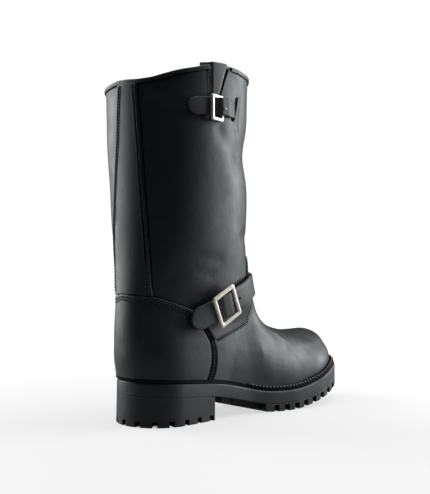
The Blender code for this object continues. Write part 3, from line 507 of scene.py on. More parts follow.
# The instep strap's base: its lower and upper edge's ring over the around share. Its left edge
# leaves the side seam as this power of the share across it.
BASE_POWER = 6
INSTEP_BASE_COLUMNS = ("around", "low", "high")
INSTEP_BASE = (
    (0.186, 0.297, 0.430),
    (0.228, 0.345, 0.520),
    (0.263, 0.373, 0.545),
    (0.290, 0.397, 0.558),
    (0.329, 0.427, 0.575),
    (0.353, 0.447, 0.582),
    (0.372, 0.478, 0.588),
    (0.382, 0.510, 0.592),
    (0.388, 0.545, 0.594),
)


def smooth(rows, columns, name, at):
    """A smooth curve through one named column of a table, over its first column."""
    table = np.array(rows, float)
    xs, ys = table[:, 0], table[:, columns.index(name)]
    step = np.diff(xs)
    slope = np.diff(ys) / step
    tangent = np.zeros_like(ys)
    both = slope[:-1] * slope[1:]
    total = slope[:-1] + slope[1:]
    rising = both > 0
    tangent[1:-1][rising] = 2 * both[rising] / total[rising]
    tangent[0], tangent[-1] = slope[0], slope[-1]
    at = np.asarray(at, float)
    i = np.clip(np.searchsorted(xs, at) - 1, 0, len(xs) - 2)
    t = np.clip((at - xs[i]) / step[i], 0, 1)
    return (
        (2 * t**3 - 3 * t**2 + 1) * ys[i]
        + (t**3 - 2 * t**2 + t) * step[i] * tangent[i]
        + (3 * t**2 - 2 * t**3) * ys[i + 1]
        + (t**3 - t**2) * step[i] * tangent[i + 1]
    )


def plan_rows():
    """The sole's outline table in metres."""
    heel = [(a * LENGTH, l * HEEL_WIDTH, m * HEEL_WIDTH, i * FEATHER) for a, l, m, i in PLAN_HEEL]
    ball = [(a * LENGTH, l * BALL_WIDTH, m * BALL_WIDTH, i * FEATHER) for a, l, m, i in PLAN_BALL]
    return heel + ball


def round_ends(y, back, front):
    """A factor that closes a plan of full width in a round heel and a round toe."""
    heel = np.clip((back + HEEL_WIDTH / 2 - y) / (HEEL_WIDTH / 2), 0, 1)
    toe = np.clip((y - (front - TOE_ROUND)) / TOE_ROUND, 0, 1)
    return np.sqrt(1 - heel**2) * (1 - toe**TOE_POWER) ** (1 / TOE_POWER)


def plan(y, inset=0.0, feather=0.0):
    """The sole's half widths (outer, inner) at y, inset by a length and by a share of the table's inset."""
    rows = plan_rows()
    back_in = inset + feather * rows[0][3]
    toe_in = inset + feather * rows[-1][3]
    centre = (smooth(rows, PLAN_COLUMNS, "lateral", y) - smooth(rows, PLAN_COLUMNS, "medial", y)) / 2
    half = (smooth(rows, PLAN_COLUMNS, "lateral", y) + smooth(rows, PLAN_COLUMNS, "medial", y)) / 2
    half = half - inset - feather * smooth(rows, PLAN_COLUMNS, "inset", y)
    half = half * round_ends(y, back_in, LENGTH - toe_in)
    return centre + half, half - centre


def midline(y):
    """The sideways swing of the last's middle line, from the waist to the toe."""
    rows = plan_rows()
    toe = (rows[-1][1] - rows[-1][2]) / 2
    t = np.clip((np.asarray(y) / LENGTH - 0.5) / 0.5, 0, 1)
    return toe * t * t * (3 - 2 * t)


def sole_top(y):
    """Height of the sole's top edge, averaged over a short stretch so that its line has no kinks."""
    near = (np.asarray(y)[..., None] + SOLE_EASE * np.linspace(-1, 1, 5)) / LENGTH
    heel = smooth(SOLE_TOP, SOLE_TOP_COLUMNS, "heel", near).mean(axis=-1)
    spring = smooth(SOLE_TOP, SOLE_TOP_COLUMNS, "spring", near).mean(axis=-1)
    return SOLE_THICKNESS + heel * (HEEL_RISE - SOLE_THICKNESS) + spring * TOE_SPRING


def leg_rows():
    """The leg's sections as (height, back, front, half width) in metres."""
    return [
        (level * HEIGHT, back * SHAFT_DEPTH, front * SHAFT_DEPTH, half * SHAFT_WIDTH)
        for level, back, front, half in LEG
    ]


def resample(points, count):
    """Points evenly spaced along a polyline."""
    length = np.r_[0, np.cumsum(np.linalg.norm(np.diff(points, axis=0), axis=1))]
    at = np.linspace(0, length[-1], count)
    return np.stack([np.interp(at, length, points[:, k]) for k in range(points.shape[1])], 1)


def front_line():
    """The upper's front outline (y, z), from the toe's foot over the instep to the collar."""
    rows = [(a * LENGTH, sole_top(a * LENGTH) + GAP + r * INSTEP_HEIGHT) for a, r in FRONT]
    leg = leg_rows()
    rows += [(front, z) for z, _, front, _ in leg if z > rows[-1][1] + LEG_CLEAR]
    knots = np.array([(float(y), float(z)) for y, z in rows])
    along = np.r_[0, np.cumsum(np.linalg.norm(np.diff(knots, axis=0), axis=1))]
    at = np.linspace(0, along[-1], LINE_POINTS)
    table = np.column_stack([along, knots])
    line = [smooth(table, ("s", "y", "z"), k, at) for k in ("y", "z")]
    return resample(np.stack(line, 1), LINE_POINTS)


def back_line():
    """The upper's back outline (y, z), from the sole to the collar."""
    bottom = float(sole_top(0.0)) + GAP
    z = np.linspace(bottom, HEIGHT - COLLAR_RISE, LINE_POINTS)
    return resample(np.stack([smooth(leg_rows(), LEG_COLUMNS, "back", z), z], 1), LINE_POINTS)


def foot_half(y, z, ends, ridge):
    """The foot's half widths at y and height z, closed over its ridge as a last is."""
    rows = plan_rows()
    share = np.linspace(0, 1, len(y))
    behind = ends[0] - rows[0][3]
    ahead = max(0.0, ends[1] - (LENGTH - rows[-1][3]))
    shift = behind * np.clip(1 - 3 * share, 0, 1) + ahead * np.clip(3 * share - 2, 0, 1)
    base = np.stack(plan(y - shift, feather=1.0)) + midline(y) * np.array([[-1], [1]])
    floor = sole_top(y)
    h = np.clip((z - floor) / np.maximum(np.interp(y, *ridge) - floor, 1e-6), 0, 1)
    dome = (1 - h**DOME_POWER) ** (1 / 2.0)
    swell = 1 + SWELL * np.sin(np.pi * np.clip(h * SWELL_REACH, 0, 1))
    return base * dome * swell


def leg_half(y, z):
    """The leg's half width at y and height z."""
    rows = leg_rows()
    back = smooth(rows, LEG_COLUMNS, "back", z)
    front = smooth(rows, LEG_COLUMNS, "front", z)
    half = smooth(rows, LEG_COLUMNS, "half", z)
    t = np.clip(np.abs(2 * (y - back) / (front - back) - 1), 0, 1)
    return half * (1 - t**LEG_POWER) ** (1 / LEG_POWER)


def blend(a, b):
    """The larger of two widths, with a soft fillet where they meet."""
    near = np.clip(1 - np.abs(a - b) / FILLET, 0, 1)
    return np.maximum(a, b) + FILLET / 4 * near**2 * np.clip(np.minimum(a, b) / FILLET, 0, 1)


def eased(count):
    """Shares from 0 to 1 that lie closer together by both ends."""
    return 0.5 - 0.5 * np.cos(np.linspace(0, np.pi, count))


def skin_grid():
    """The upper's outer surface as evenly spaced rings of points, from the sole to the collar.

    Each ring runs from the back over the outer side to the front and back over the inner side.
    """
    front, back = front_line(), back_line()
    over = front[np.argmax(front[:, 0]) : np.argmax(front[:, 0] < 0.5 * LENGTH)][::-1]
    inside = np.array(HEEL_RIDGE) * (LENGTH, INSTEP_HEIGHT)
    inside[:, 1] += SOLE_THICKNESS
    ridge = (np.r_[inside[:, 0], over[:, 0]], np.r_[inside[:, 1], over[:, 1]])
    grid = []
    for ring in np.linspace(0, 1, SKIN_RINGS):
        share = {k: float(smooth(FAN, FAN_COLUMNS, k, ring)) for k in FAN_COLUMNS[1:]}
        start = back[round(share["back"] * (len(back) - 1))]
        end = front[round(share["front"] * (len(front) - 1))]
        s = eased(RING_POINTS)
        y = start[0] + s * (end[0] - start[0])
        line = start[1] + s * (end[1] - start[1])
        curve = sole_top(y) - (sole_top(start[0]) + s * (sole_top(end[0]) - sole_top(start[0])))
        z = line + share["follow"] * curve
        lateral, medial = foot_half(y, z, (start[0], end[0]), ridge)
        leg = leg_half(y, z)
        lateral, medial = blend(lateral, leg), blend(medial, leg)
        lateral[[0, -1]] = medial[[0, -1]] = 0
        outer = resample(np.stack([midline(y) + lateral, y, z], 1), SKIN_AROUND // 2 + 1)
        inner = resample(np.stack([midline(y) - medial, y, z], 1), SKIN_AROUND // 2 + 1)
        grid.append(np.concatenate([outer, inner[-2:0:-1]]))
    return np.array(grid)


class Skin:
    """The upper's outer surface, read at (ring, around) and moved out along its normal."""

    def __init__(self):
        self.points = skin_grid()
        across = np.roll(self.points, -1, 1) - np.roll(self.points, 1, 1)
        up = np.gradient(self.points, axis=0)
        normal = np.cross(across, up)
        normal[0, :, 2] = 0
        self.normal = normal / np.linalg.norm(normal, axis=2, keepdims=True)

    def read(self, field, ring, around):
        rings, columns = field.shape[:2]
        r = np.clip(np.asarray(ring, float), 0, 1) * (rings - 1)
        c = (np.asarray(around, float) % 1) * columns
        r, c = np.broadcast_arrays(r, c)
        i, j = np.minimum(r.astype(int), rings - 2), c.astype(int) % columns
        a, b = (r - i)[..., None], (c - c.astype(int))[..., None]
        k = (j + 1) % columns
        low = field[i, j] * (1 - b) + field[i, k] * b
        high = field[i + 1, j] * (1 - b) + field[i + 1, k] * b
        return low * (1 - a) + high * a

    def normals(self, ring, around):
        normal = self.read(self.normal, ring, around)
        return normal / np.linalg.norm(normal, axis=-1, keepdims=True)

    def at(self, ring, around, out=0.0):
        out = np.asarray(out)[..., None]
        return self.read(self.points, ring, around) + self.normals(ring, around) * out

    def frame(self, ring, around, heading=0.0):
        """The point and its axes: along the ring turned up by heading, across it, and outwards."""
        along = self.at(ring, around + FRAME_STEP) - self.at(ring, around - FRAME_STEP)
        normal = self.normals(ring, around)
        along = along - normal * (along @ normal)
        along = along / np.linalg.norm(along)
        up = np.cross(normal, along)
        turn, lift = math.cos(heading), math.sin(heading)
        return self.at(ring, around), along * turn + up * lift, up * turn - along * lift, normal


class Boot(Skin):
    """The skin with worn leather's creases; its calm twin carries what bridges the hollows."""

    def __init__(self):
        super().__init__()
        lift = smooth(RIM, ("around", "lift"), "lift", np.arange(SKIN_AROUND) / SKIN_AROUND)
        rise = np.clip((np.linspace(0, 1, SKIN_RINGS) - RIM_START) / (1 - RIM_START), 0, 1) ** 2
        self.points[..., 2] += rise[:, None] * lift[None, :]
        self.calm = Calm(self)
        ring = np.linspace(0, 1, SKIN_RINGS)[:, None]
        around = np.arange(SKIN_AROUND)[None, :] / SKIN_AROUND
        share = bump(ring - THROAT[0], *THROAT_RING) * bump(around - THROAT[1], *THROAT_AROUND)
        share = share[..., None]
        self.points = self.points + share * (self.calm.points - self.points)
        self.normal = self.normal + share * (self.calm.normal - self.normal)
        self.relief = relief(self)[..., None]

    def at(self, ring, around, out=0.0):
        press = self.read(self.relief, ring, around)[..., 0]
        return super().at(ring, around, press + out)


class Calm(Skin):
    """A copy of the skin with its points and normals averaged over their neighbours."""

    def __init__(self, skin):
        self.points = blurred(skin.points, CALM_POINTS)
        self.normal = blurred(skin.normal, CALM_NORMALS)


def blurred(field, passes):
    """A skin's field with each point averaged with its neighbours, this many times."""
    for _ in range(passes):
        field = (np.roll(field, 1, 1) + 2 * field + np.roll(field, -1, 1)) / 4
        padded = np.concatenate([field[:1], field, field[-1:]])
        field = (padded[:-2] + 2 * field + padded[2:]) / 4
    return field


def along_line(line, spacing=0.004):
    """Ring and around shares sampled evenly along a few given ones."""
    line = np.array(line, float)
    count = max(int(np.abs(np.diff(line, axis=0)).sum() / spacing), 8)
    at = np.linspace(0, 1, count)
    knots = np.linspace(0, 1, len(line))
    return np.interp(at, knots, line[:, 0]), np.interp(at, knots, line[:, 1])


def relief(skin):
    """How far creases and soft swells move each point of the skin outwards, in metres."""
    points = skin.points
    rings, around = points.shape[:2]
    total = np.zeros((rings, around))
    for depth, width, line in CREASES:
        spots = Skin.at(skin, *along_line(line))
        reach = np.full((rings, around), 1.0)
        for spot in spots:
            reach = np.minimum(reach, np.linalg.norm(points - spot, axis=2))
        total -= depth * np.exp(-((reach / width) ** 2))
    ring = np.linspace(0, 1, rings)[:, None]
    turn = 2 * np.pi * np.arange(around)[None, :] / around
    start, ease, least = SWELL_RINGS
    for height, per_ring, per_turn, phase in SWELLS:
        grown = np.clip((ring - start) / ease, least, 1)
        total += height * grown * np.sin(2 * np.pi * per_ring * ring + per_turn * turn + phase)
    return total


def place(points):
    """From the sole's coordinates to the row's frame."""
    return np.asarray(points, float) - np.array([0, HEEL_LENGTH / 2, 0])


def piece(name, points, faces, made, nodes=(), sharp=60, weld=1e-6):
    """A smooth-shaded mesh that rides on the boot's one body and stands for the named nodes."""
    mesh = bpy.data.meshes.new(name)
    mesh.from_pydata(place(points).tolist(), [], [list(map(int, face)) for face in faces])
    shape = bmesh.new()
    shape.from_mesh(mesh)
    bmesh.ops.remove_doubles(shape, verts=shape.verts, dist=weld)
    bmesh.ops.recalc_face_normals(shape, faces=shape.faces)
    shape.to_mesh(mesh)
    shape.free()
    mesh.materials.append(made)
    mesh.shade_smooth()
    mesh.set_sharp_from_angle(angle=math.radians(sharp))
    obj = bpy.data.objects.new(name, mesh)
    bpy.context.scene.collection.objects.link(obj)
    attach(obj, "root")
    if nodes:
        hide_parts(*nodes)
    return obj


def grid_faces(rows, columns, closed=True):
    """The quads of a grid of points; closed joins its last column to its first."""
    faces = []
    for i in range(rows - 1):
        for j in range(columns if closed else columns - 1):
            k = (j + 1) % columns
            a, b = i * columns + j, i * columns + k
            faces.append((a, b, b + columns, a + columns))
    return faces


def sheet(name, points, made, nodes=(), closed=False):
    """A piece from a grid of points, in rows; closed joins each row's end to its start."""
    faces = grid_faces(*points.shape[:2], closed)
    return piece(name, points.reshape(-1, 3), faces, made, nodes)


def spread(width, count):
    """Shares across a panel of this width, close together by both its edges."""
    near = np.array(EDGE_STEPS) / width
    return np.r_[near, np.linspace(near[-1], 1 - near[-1], count)[1:-1], 1 - near[::-1]]


def edge_distance(points, rolled):
    """Each grid point's distance from the nearest rolled edge: left, right, bottom, top."""
    steps = np.linalg.norm(np.diff(points, axis=1), axis=2)
    left = np.concatenate([np.zeros((len(points), 1)), np.cumsum(steps, axis=1)], 1)
    steps = np.linalg.norm(np.diff(points, axis=0), axis=2)
    low = np.concatenate([np.zeros((1, points.shape[1])), np.cumsum(steps, axis=0)], 0)
    ways = (left, left[:, -1:] - left, low, low[-1:] - low)
    return np.min([way for way, on in zip(ways, rolled) if on], axis=0)


def panel(name, boot, ring, around, low, nodes, rolled=NOT_THE_FOOT, made=None):
    """A leather panel on the boot with its cut edges rolled down; low is its underside's height."""
    ring, around = np.broadcast_arrays(ring, around)
    away = edge_distance(boot.at(ring, around, low), rolled)
    fall = np.clip(away / ROLL, 0, 1)
    out = low + LAYER * np.sqrt(1 - (1 - fall) ** 2)
    return sheet(name, boot.at(ring, around, out), made or leather(), nodes)


def seam(ring, name):
    return smooth(SEAM, SEAM_COLUMNS, name, ring)


def counter_top(around):
    return smooth(COUNTER_TOP, COUNTER_TOP_COLUMNS, "ring", np.abs(around))


def vamp_top(around):
    return smooth(VAMP_TOP, VAMP_TOP_COLUMNS, "ring", np.abs(around - 0.5))


def notch_edge(ring, side):
    """The around share of the collar notch's edge: they meet in its middle at the bottom."""
    open_share = np.clip((ring - NOTCH_BOTTOM) / (1 - NOTCH_BOTTOM), 0, 1) ** NOTCH_BEND[side]
    return NOTCH_MIDDLE + open_share * (NOTCH_SPAN[side] - NOTCH_MIDDLE)


def shaft(boot):
    """The shaft and the foot's body under the panels, with its lining and the collar's notch."""
    ring = np.unique(np.concatenate(SHAFT_RINGS))[:, None]
    share = np.linspace(0, 1, SHAFT_COLUMNS)[None, :]
    start, end = notch_edge(ring, 1), 1 + notch_edge(ring, 0)
    around = start + share * (end - start)
    outer = boot.at(ring, around)
    sheet("shaft_leather", outer, leather(), ("upper",))
    inner = boot.at(ring[::2], around[::2, ::2], -WALL)
    sheet("shaft_lining", inner, lining())
    for name, column in (("notch_edge_front", 0), ("notch_edge_back", -1)):
        rows = ring[:, 0] > NOTCH_BOTTOM
        rim = np.stack([outer[rows, column], boot.at(ring, around, -WALL)[rows, column]], 1)
        sheet(name, rim, leather())


def foot_panel(name, boot, top, middle, start, grid):
    """A panel over the foot from one side seam to the other, up to its curved top edge.

    Its middle is an around share, and start is the ring share that its sides are first read at.
    """
    across, up = 2 * spread(*grid[0])[None, :] - 1, spread(*grid[1])[:, None]
    around = middle + across * abs(middle - seam(start, name)) + 0 * up
    for _ in range(SETTLE):
        ring = FOOT_START + up * (top(around) - FOOT_START)
        around = middle + across * abs(middle - seam(ring, name))
    panel(name + "_leather", boot, ring, around, GAP, (name,))


def vamp(boot):
    foot_panel("vamp", boot, vamp_top, 0.5, 0.1, VAMP_GRID)


def counter(boot):
    foot_panel("counter", boot, counter_top, 0.0, 0.2, COUNTER_GRID)


def side_strips(boot):
    ring = np.linspace(FOOT_START, STRIP_TOP, 70)[:, None]
    rear = seam(ring, "counter") + STRIP_CLEAR
    front = seam(ring, "vamp") - STRIP_CLEAR
    across, rise = np.transpose(STRIP_SECTION)
    rise = rise[None, :, None] * STRIP_THICKNESS
    around = rear + (front - rear) * across
    for name, side in (("outer", 1), ("inner", -1)):
        node = "side_strip_" + name
        low = boot.at(ring + 0 * around, side * around, GAP)
        top = low + boot.normals(ring + 0 * around, side * around) * rise
        # The strips take the dyed edge look, whose dark tone is partly painted shade.
        sheet(node + "_leather", top, dyed_edge_and_shade(), (node,))


def backstay(boot):
    across, up = 2 * spread(*BACKSTAY_GRID[0])[None, :] - 1, spread(*BACKSTAY_GRID[1])[:, None]
    ring = BACKSTAY_FOOT + up * (BACKSTAY_TOP - BACKSTAY_FOOT) + 0 * across
    for _ in range(SETTLE // 2):
        half = smooth(BACKSTAY, BACKSTAY_COLUMNS, "half", ring)
        around = smooth(BACKSTAY, BACKSTAY_COLUMNS, "centre", ring) + across * half
        low = counter_top(around) + BACKSTAY_CLEAR
        ring = low + up * (BACKSTAY_TOP - low)
    panel("backstay_leather", boot, ring, around, GAP, ("backstay",))


def collar_binding(boot):
    """The binding rolled over the collar's edge."""
    around = np.linspace(NOTCH_SPAN[1] + BINDING_CLEAR, 1 + NOTCH_SPAN[0] - BINDING_CLEAR, SEAM_POINTS)
    rim = boot.at(np.ones_like(around), around)
    out = boot.normals(np.ones_like(around), around)
    up = rim - boot.at(BINDING_LOOK + 0 * around, around)
    up = up / np.linalg.norm(up, axis=1, keepdims=True)
    face, back = GAP + BINDING, -WALL - GAP - BINDING
    turn = np.linspace(0, np.pi, 9)
    middle, half = (face + back) / 2, (face - back) / 2
    bevel = BINDING_BEVEL
    profile = [(GAP, -BINDING_DEPTH), (face * bevel, -BINDING_DEPTH), (face, -BINDING_DEPTH * bevel)]
    profile += [(middle + half * math.cos(t), BINDING * math.sin(t)) for t in turn]
    profile += [(back, -BINDING_DEPTH * bevel), (-WALL - GAP, -BINDING_DEPTH)]
    rows = np.stack([rim + out * a + up * b for a, b in profile], 1)
    sheet("collar_binding_leather", rows, leather(), ("collar_binding",))


def gusset(boot):
    """The soft panel behind the notch, with a rolled top that stands above the collar."""
    around = np.linspace(GUSSET_SPAN[0], GUSSET_SPAN[1], 40)
    ring = np.linspace(GUSSET_BOTTOM, 1.0, 24)
    out = -WALL - 2 * GAP - BINDING - LAYER
    arch = 1 - GUSSET_SLANT * np.linspace(0, 1, 40)
    lift = np.array([0, 0, 1.0]) * (GUSSET_RISE * arch)[:, None]
    left, right = (notch_edge(ring[:, None], side) for side in (0, 1))
    share = (around - left) / np.maximum(right - left, 1e-6)
    middle, half, ease = GUSSET_PLATEAU
    swell = GUSSET_SWELL * bump(share - middle, half, ease)
    rows = []
    for depth in (out + LAYER, out):
        face = boot.at(ring[:, None] + 0 * around, around + 0 * ring[:, None], depth + swell)
        crest = face[-1] + lift * np.linspace(0, 1, 7)[1:, None, None]
        grid = np.concatenate([face, crest])
        rows.append(grid if depth > out else grid[::-1])
    crown = (rows[0][-1] + rows[1][0]) / 2 + np.array([0, 0, LAYER / 3])
    grid = np.concatenate([rows[0], crown[None], rows[1]])
    sheet("gusset_leather", grid, leather(), ("collar_gusset",))


def path_run(boot, path):
    """The length along a strap's path at each of its points, in metres."""
    path = np.array(path, float)
    spots = Skin.at(boot, path[:, 1], path[:, 0])
    return np.r_[0, np.cumsum(np.linalg.norm(np.diff(spots, axis=0), axis=1))]


def share_slopes(boot, ring, around):
    """How the smooth skin moves with each share, in metres for a whole share."""
    step = SHARE_STEP
    on = Skin.at(boot, ring, around + step) - Skin.at(boot, ring, around - step)
    up = Skin.at(boot, ring + step, around) - Skin.at(boot, ring - step, around)
    return on / (2 * step), up / (2 * step)


def strap(name, boot, path, width, thick, out, nodes):
    """A strap with soft edges on a path of (around, ring); out gives its underside's height."""
    calm = boot.calm
    run = path_run(boot, path)
    table = np.column_stack([run, np.array(path, float)])
    names = ("run", "around", "ring")
    tip = width / 2
    stations = np.r_[tip * (1 - np.cos(np.linspace(0.12, 1.5, 14))), np.linspace(tip, run[-1], 150)[1:]]
    around, ring = (smooth(table, names, k, stations) for k in names[1:])
    by_around, by_ring = share_slopes(calm, ring, around)
    fore, aft = (calm.at(*(smooth(table, names, k, stations + shift) for k in ("ring", "around")))
                 for shift in (STRAP_LOOK, -STRAP_LOOK))
    ahead = fore - aft
    across = np.cross(calm.normals(ring, around), ahead)
    across = across / np.linalg.norm(across, axis=1, keepdims=True)
    half = width / 2 * np.sqrt(1 - np.clip(1 - stations / tip, 0, 1) ** 2)
    side, crown = np.transpose(STRAP_SECTION)
    rows = []
    for i, reach in enumerate(half):
        basis = np.stack([by_around[i], by_ring[i]], 1)
        move = np.linalg.lstsq(basis, across[i] * reach, rcond=None)[0]
        low = out(stations[i])
        at_ring, at_around = ring[i] + side * move[1], around[i] + side * move[0]
        top = calm.at(at_ring, at_around, low + thick * crown)
        under = calm.at(at_ring[::-1], at_around[::-1], low + 0 * side)
        rows.append(np.concatenate([top, under]))
    rows = np.array(rows)
    count = rows.shape[1]
    faces = grid_faces(len(rows), count)
    faces += [tuple(range(count)), tuple(range((len(rows) - 1) * count, len(rows) * count))]
    # The straps take the lighter strap leather, whose tone is painted light.
    return piece(name, rows.reshape(-1, 3), faces, strap_leather_lit(), nodes)


def bump(away, half, ease):
    """A share that is 1 up to half away from the middle and eases to 0 over the next stretch."""
    t = np.clip((half + ease - np.abs(away)) / ease, 0, 1)
    return t * t * (3 - 2 * t)


def seat_on(calm, ring, around, heading, size):
    """A flat seat over the calm skin: its centre, its axes and the way out."""
    centre, along, across, out = calm.frame(ring, around, heading)
    by_around, by_ring = share_slopes(calm, ring, around)
    basis = np.stack([by_around, by_ring], 1)
    top = 0.0
    for x in (-0.5, 0, 0.5):
        for y in (-0.5, 0, 0.5):
            move = np.linalg.lstsq(basis, along * x * size[0] + across * y * size[1], rcond=None)[0]
            top = max(top, (calm.at(ring + move[1], around + move[0]) - centre) @ out)
    return centre + out * top, along, across, out


def buckle(name, seat, size, band, tilt, lift, nodes):
    """A bevelled frame round a rectangular window; band is the width of its bars and of its rails."""
    centre, along, across, out = seat
    along = along * math.cos(tilt) + out * math.sin(tilt)
    out = np.cross(along, across)
    window = (size[0] - 2 * band[0], size[1] - 2 * band[1])
    sections = []
    for sx, sy, start in ((1, 1, 0), (-1, 1, 90), (-1, -1, 180), (1, -1, 270)):
        for turn in np.radians(np.linspace(0, 90, 9) + start):
            spot = []
            for full, corner in ((size, BUCKLE_CORNER), (window, BUCKLE_CORNER / 3)):
                x = sx * (full[0] / 2 - corner) + corner * math.cos(turn)
                y = sy * (full[1] / 2 - corner) + corner * math.sin(turn)
                spot.append(centre + along * x + across * y + out * lift)
            outer, inner = spot
            section = []
            for share, rise in BUCKLE_SECTION:
                section.append(outer + (inner - outer) * share + out * BUCKLE_THICKNESS * rise)
            sections.append(section)
    sections = np.array(sections)
    rows, columns = sections.shape[:2]
    faces = grid_faces(rows, columns)
    last = (rows - 1) * columns
    faces += [(last + j, last + (j + 1) % columns, (j + 1) % columns, j) for j in range(columns)]
    return piece(name, sections.reshape(-1, 3), faces, metal(), nodes, sharp=35)


def disc(name, centre, along, across, out, radius, rise, made, slot):
    """A small domed disc, as a rivet's or prong's end, or nearly flat and dark as the painted shade of the
    strap holes.
    """
    turn = np.linspace(0, 2 * np.pi, 20, endpoint=False)
    rows = []
    for share in (1.0, 0.85, 0.55, 0.25, 0.02):
        height = rise * math.sqrt(max(0.0, 1 - share**2))
        ring = [centre + (along * math.cos(t) + across * math.sin(t)) * radius * share + out * height
                for t in turn]
        rows.append(ring)
    return sheet(name, np.array(rows), made, closed=True)


def beads(name, rows):
    """Stitches along lines; each row is (points, normals, pitch, (length, width, height))."""
    ends = np.array([(-1, 0.3), (-0.7, 0.85), (0, 1), (0.7, 0.85), (1, 0.3)])
    turn = np.linspace(0, 2 * np.pi, 6, endpoint=False)
    shape = np.array([(x, r * math.cos(t), r * math.sin(t)) for x, r in ends for t in turn])
    body = grid_faces(5, 6) + [(5, 4, 3, 2, 1, 0), (24, 25, 26, 27, 28, 29)]
    points, faces = [], []
    for line, normals, pitch, size in rows:
        run = np.r_[0, np.cumsum(np.linalg.norm(np.diff(line, axis=0), axis=1))]
        count = int(run[-1] / pitch)
        for at in (np.arange(count) + 0.5) * run[-1] / max(count, 1):
            spot = np.array([np.interp(at, run, line[:, k]) for k in range(3)])
            fore = np.array([np.interp(at + pitch / 3, run, line[:, k]) for k in range(3)])
            aft = np.array([np.interp(at - pitch / 3, run, line[:, k]) for k in range(3)])
            up = np.array([np.interp(at, run, normals[:, k]) for k in range(3)])
            ahead = (fore - aft) / np.linalg.norm(fore - aft)
            side = np.cross(up, ahead)
            side = side / np.linalg.norm(side)
            up = np.cross(ahead, side)
            start = len(points)
            local = shape * np.array(size) / 2
            points += list(spot + local[:, :1] * ahead + local[:, 1:2] * side + local[:, 2:] * up)
            faces += [tuple(start + i for i in face) for face in body]
    return piece(name, np.array(points), faces, thread(), weld=0.0)


def strip(name, boot, ring, around, low, width, height, made):
    """A half-round strip along a line on the boot; it is flat where it has no height."""
    ring, around = np.broadcast_arrays(ring, around)
    line, out = boot.at(ring, around, low), boot.normals(ring, around)
    across = np.cross(out, np.gradient(line, axis=0))
    across = across / np.linalg.norm(across, axis=1, keepdims=True)
    rows = []
    for share in np.linspace(-1, 1, 7):
        rows.append(line + across * share * width / 2 + out * height * math.sqrt(1 - share**2))
    return sheet(name, np.stack(rows, 1), made)


def painted_shade_line(name, boot, ring, around, width=DARK_WIDTH, over=0.0):
    """A flat dark line of painted shade: the shadow under an edge, or the shade in a pressed groove or a
    slit.
    """
    strip(name, boot, ring, around, over + DARK_LIFT, width, 0, painted_shade())


def stitch_row(boot, line, over=0.0):
    """A row of thread for beads() along a line of (ring, around), over the leather by this much."""
    return boot.at(*line, over + STITCH_LIFT), boot.normals(*line), STITCH_PITCH, STITCH


def shifted(boot, ring, around, up=0.0, on=0.0):
    """Shares of a line moved by metres up the boot and on round it."""
    middle = np.clip(ring, SHARE_STEP, 1 - SHARE_STEP)
    by_around, by_ring = share_slopes(boot, middle, around)
    high, wide = np.linalg.norm(by_ring, axis=-1), np.linalg.norm(by_around, axis=-1)
    return np.array([ring + up / high, around + on / wide])


def stitching(boot):
    """Every seam's thread, in rows set by distances from the panels' edges, and its dark lines."""
    counter_seams(boot)
    backstay_seams(boot)
    side_seams(boot)
    base_seams(boot)
    collar_seams(boot)
    slit(boot)


def counter_seams(boot):
    """The counter's two rows of thread with painted shade in their grooves, and painted shadows where it
    meets the sole and the shaft.
    """
    rows = []
    around = np.linspace(-COUNTER_SEAM, COUNTER_SEAM, SEAM_POINTS)
    for name, below in COUNTER_GROOVES:
        line = shifted(boot, counter_top(around), around, up=-below)
        rows.append(stitch_row(boot, line, PANEL_TOP))
        painted_shade_line(name, boot, *line, GROOVE_SHADE, PANEL_TOP)
    beads("counter_stitches", rows)
    around = np.linspace(-WELT_SPAN, WELT_SPAN, SEAM_POINTS)
    line = shifted(boot, FOOT_START + 0 * around, around, up=FEATHER_SHADE / 2)
    painted_shade_line("feather_shadow", boot, *line, FEATHER_SHADE, PANEL_TOP + DARK_LIFT)
    painted_shade_line("counter_shadow", boot, *shifted(boot, counter_top(around), around, up=EDGE_SHADE))


def backstay_seams(boot):
    rows = []
    ring = np.linspace(BACKSTAY_SEAM[0], BACKSTAY_SEAM[1], 260)
    centre, half = (smooth(BACKSTAY, BACKSTAY_COLUMNS, name, ring) for name in ("centre", "half"))
    for name, side in (("left", -1), ("right", 1)):
        edge = centre + side * half
        for inset in BACKSTAY_ROWS:
            rows.append(stitch_row(boot, shifted(boot, ring, edge, on=-side * inset), PANEL_TOP))
        # Painted shade down each edge's groove, and a painted shadow under the edge.
        line = shifted(boot, ring, edge, on=-side * BACKSTAY_GROOVE_IN)[:, ring > BACKSTAY_GROOVE_FROM]
        painted_shade_line("backstay_groove_shade_" + name, boot, *line, BACKSTAY_GROOVE_SHADES[side], PANEL_TOP)
        line = shifted(boot, ring, edge, on=side * DARK_WIDTH / 2)
        painted_shade_line("backstay_shadow_" + name, boot, *line, DARK_WIDTH * 1.5)
    beads("backstay_stitches", rows)


def side_seams(boot):
    rows = []
    ring = np.linspace(SIDE_SEAM[0], SIDE_SEAM[1], 140)
    over = GAP + STRIP_THICKNESS
    middle = (seam(ring, "counter") + seam(ring, "vamp")) / 2
    for name, side in (("outer", 1), ("inner", -1)):
        rows.append(stitch_row(boot, (ring, side * middle), over))
        for edge, on in (("counter", DARK_WIDTH / 2), ("vamp", -DARK_WIDTH / 2)):
            at_ring, place_on = shifted(boot, ring, seam(ring, edge), on=on)
            painted_shade_line(f"side_shadow_{edge}_{name}", boot, at_ring, side * place_on, over=over)
    beads("side_seam_stitches", rows)


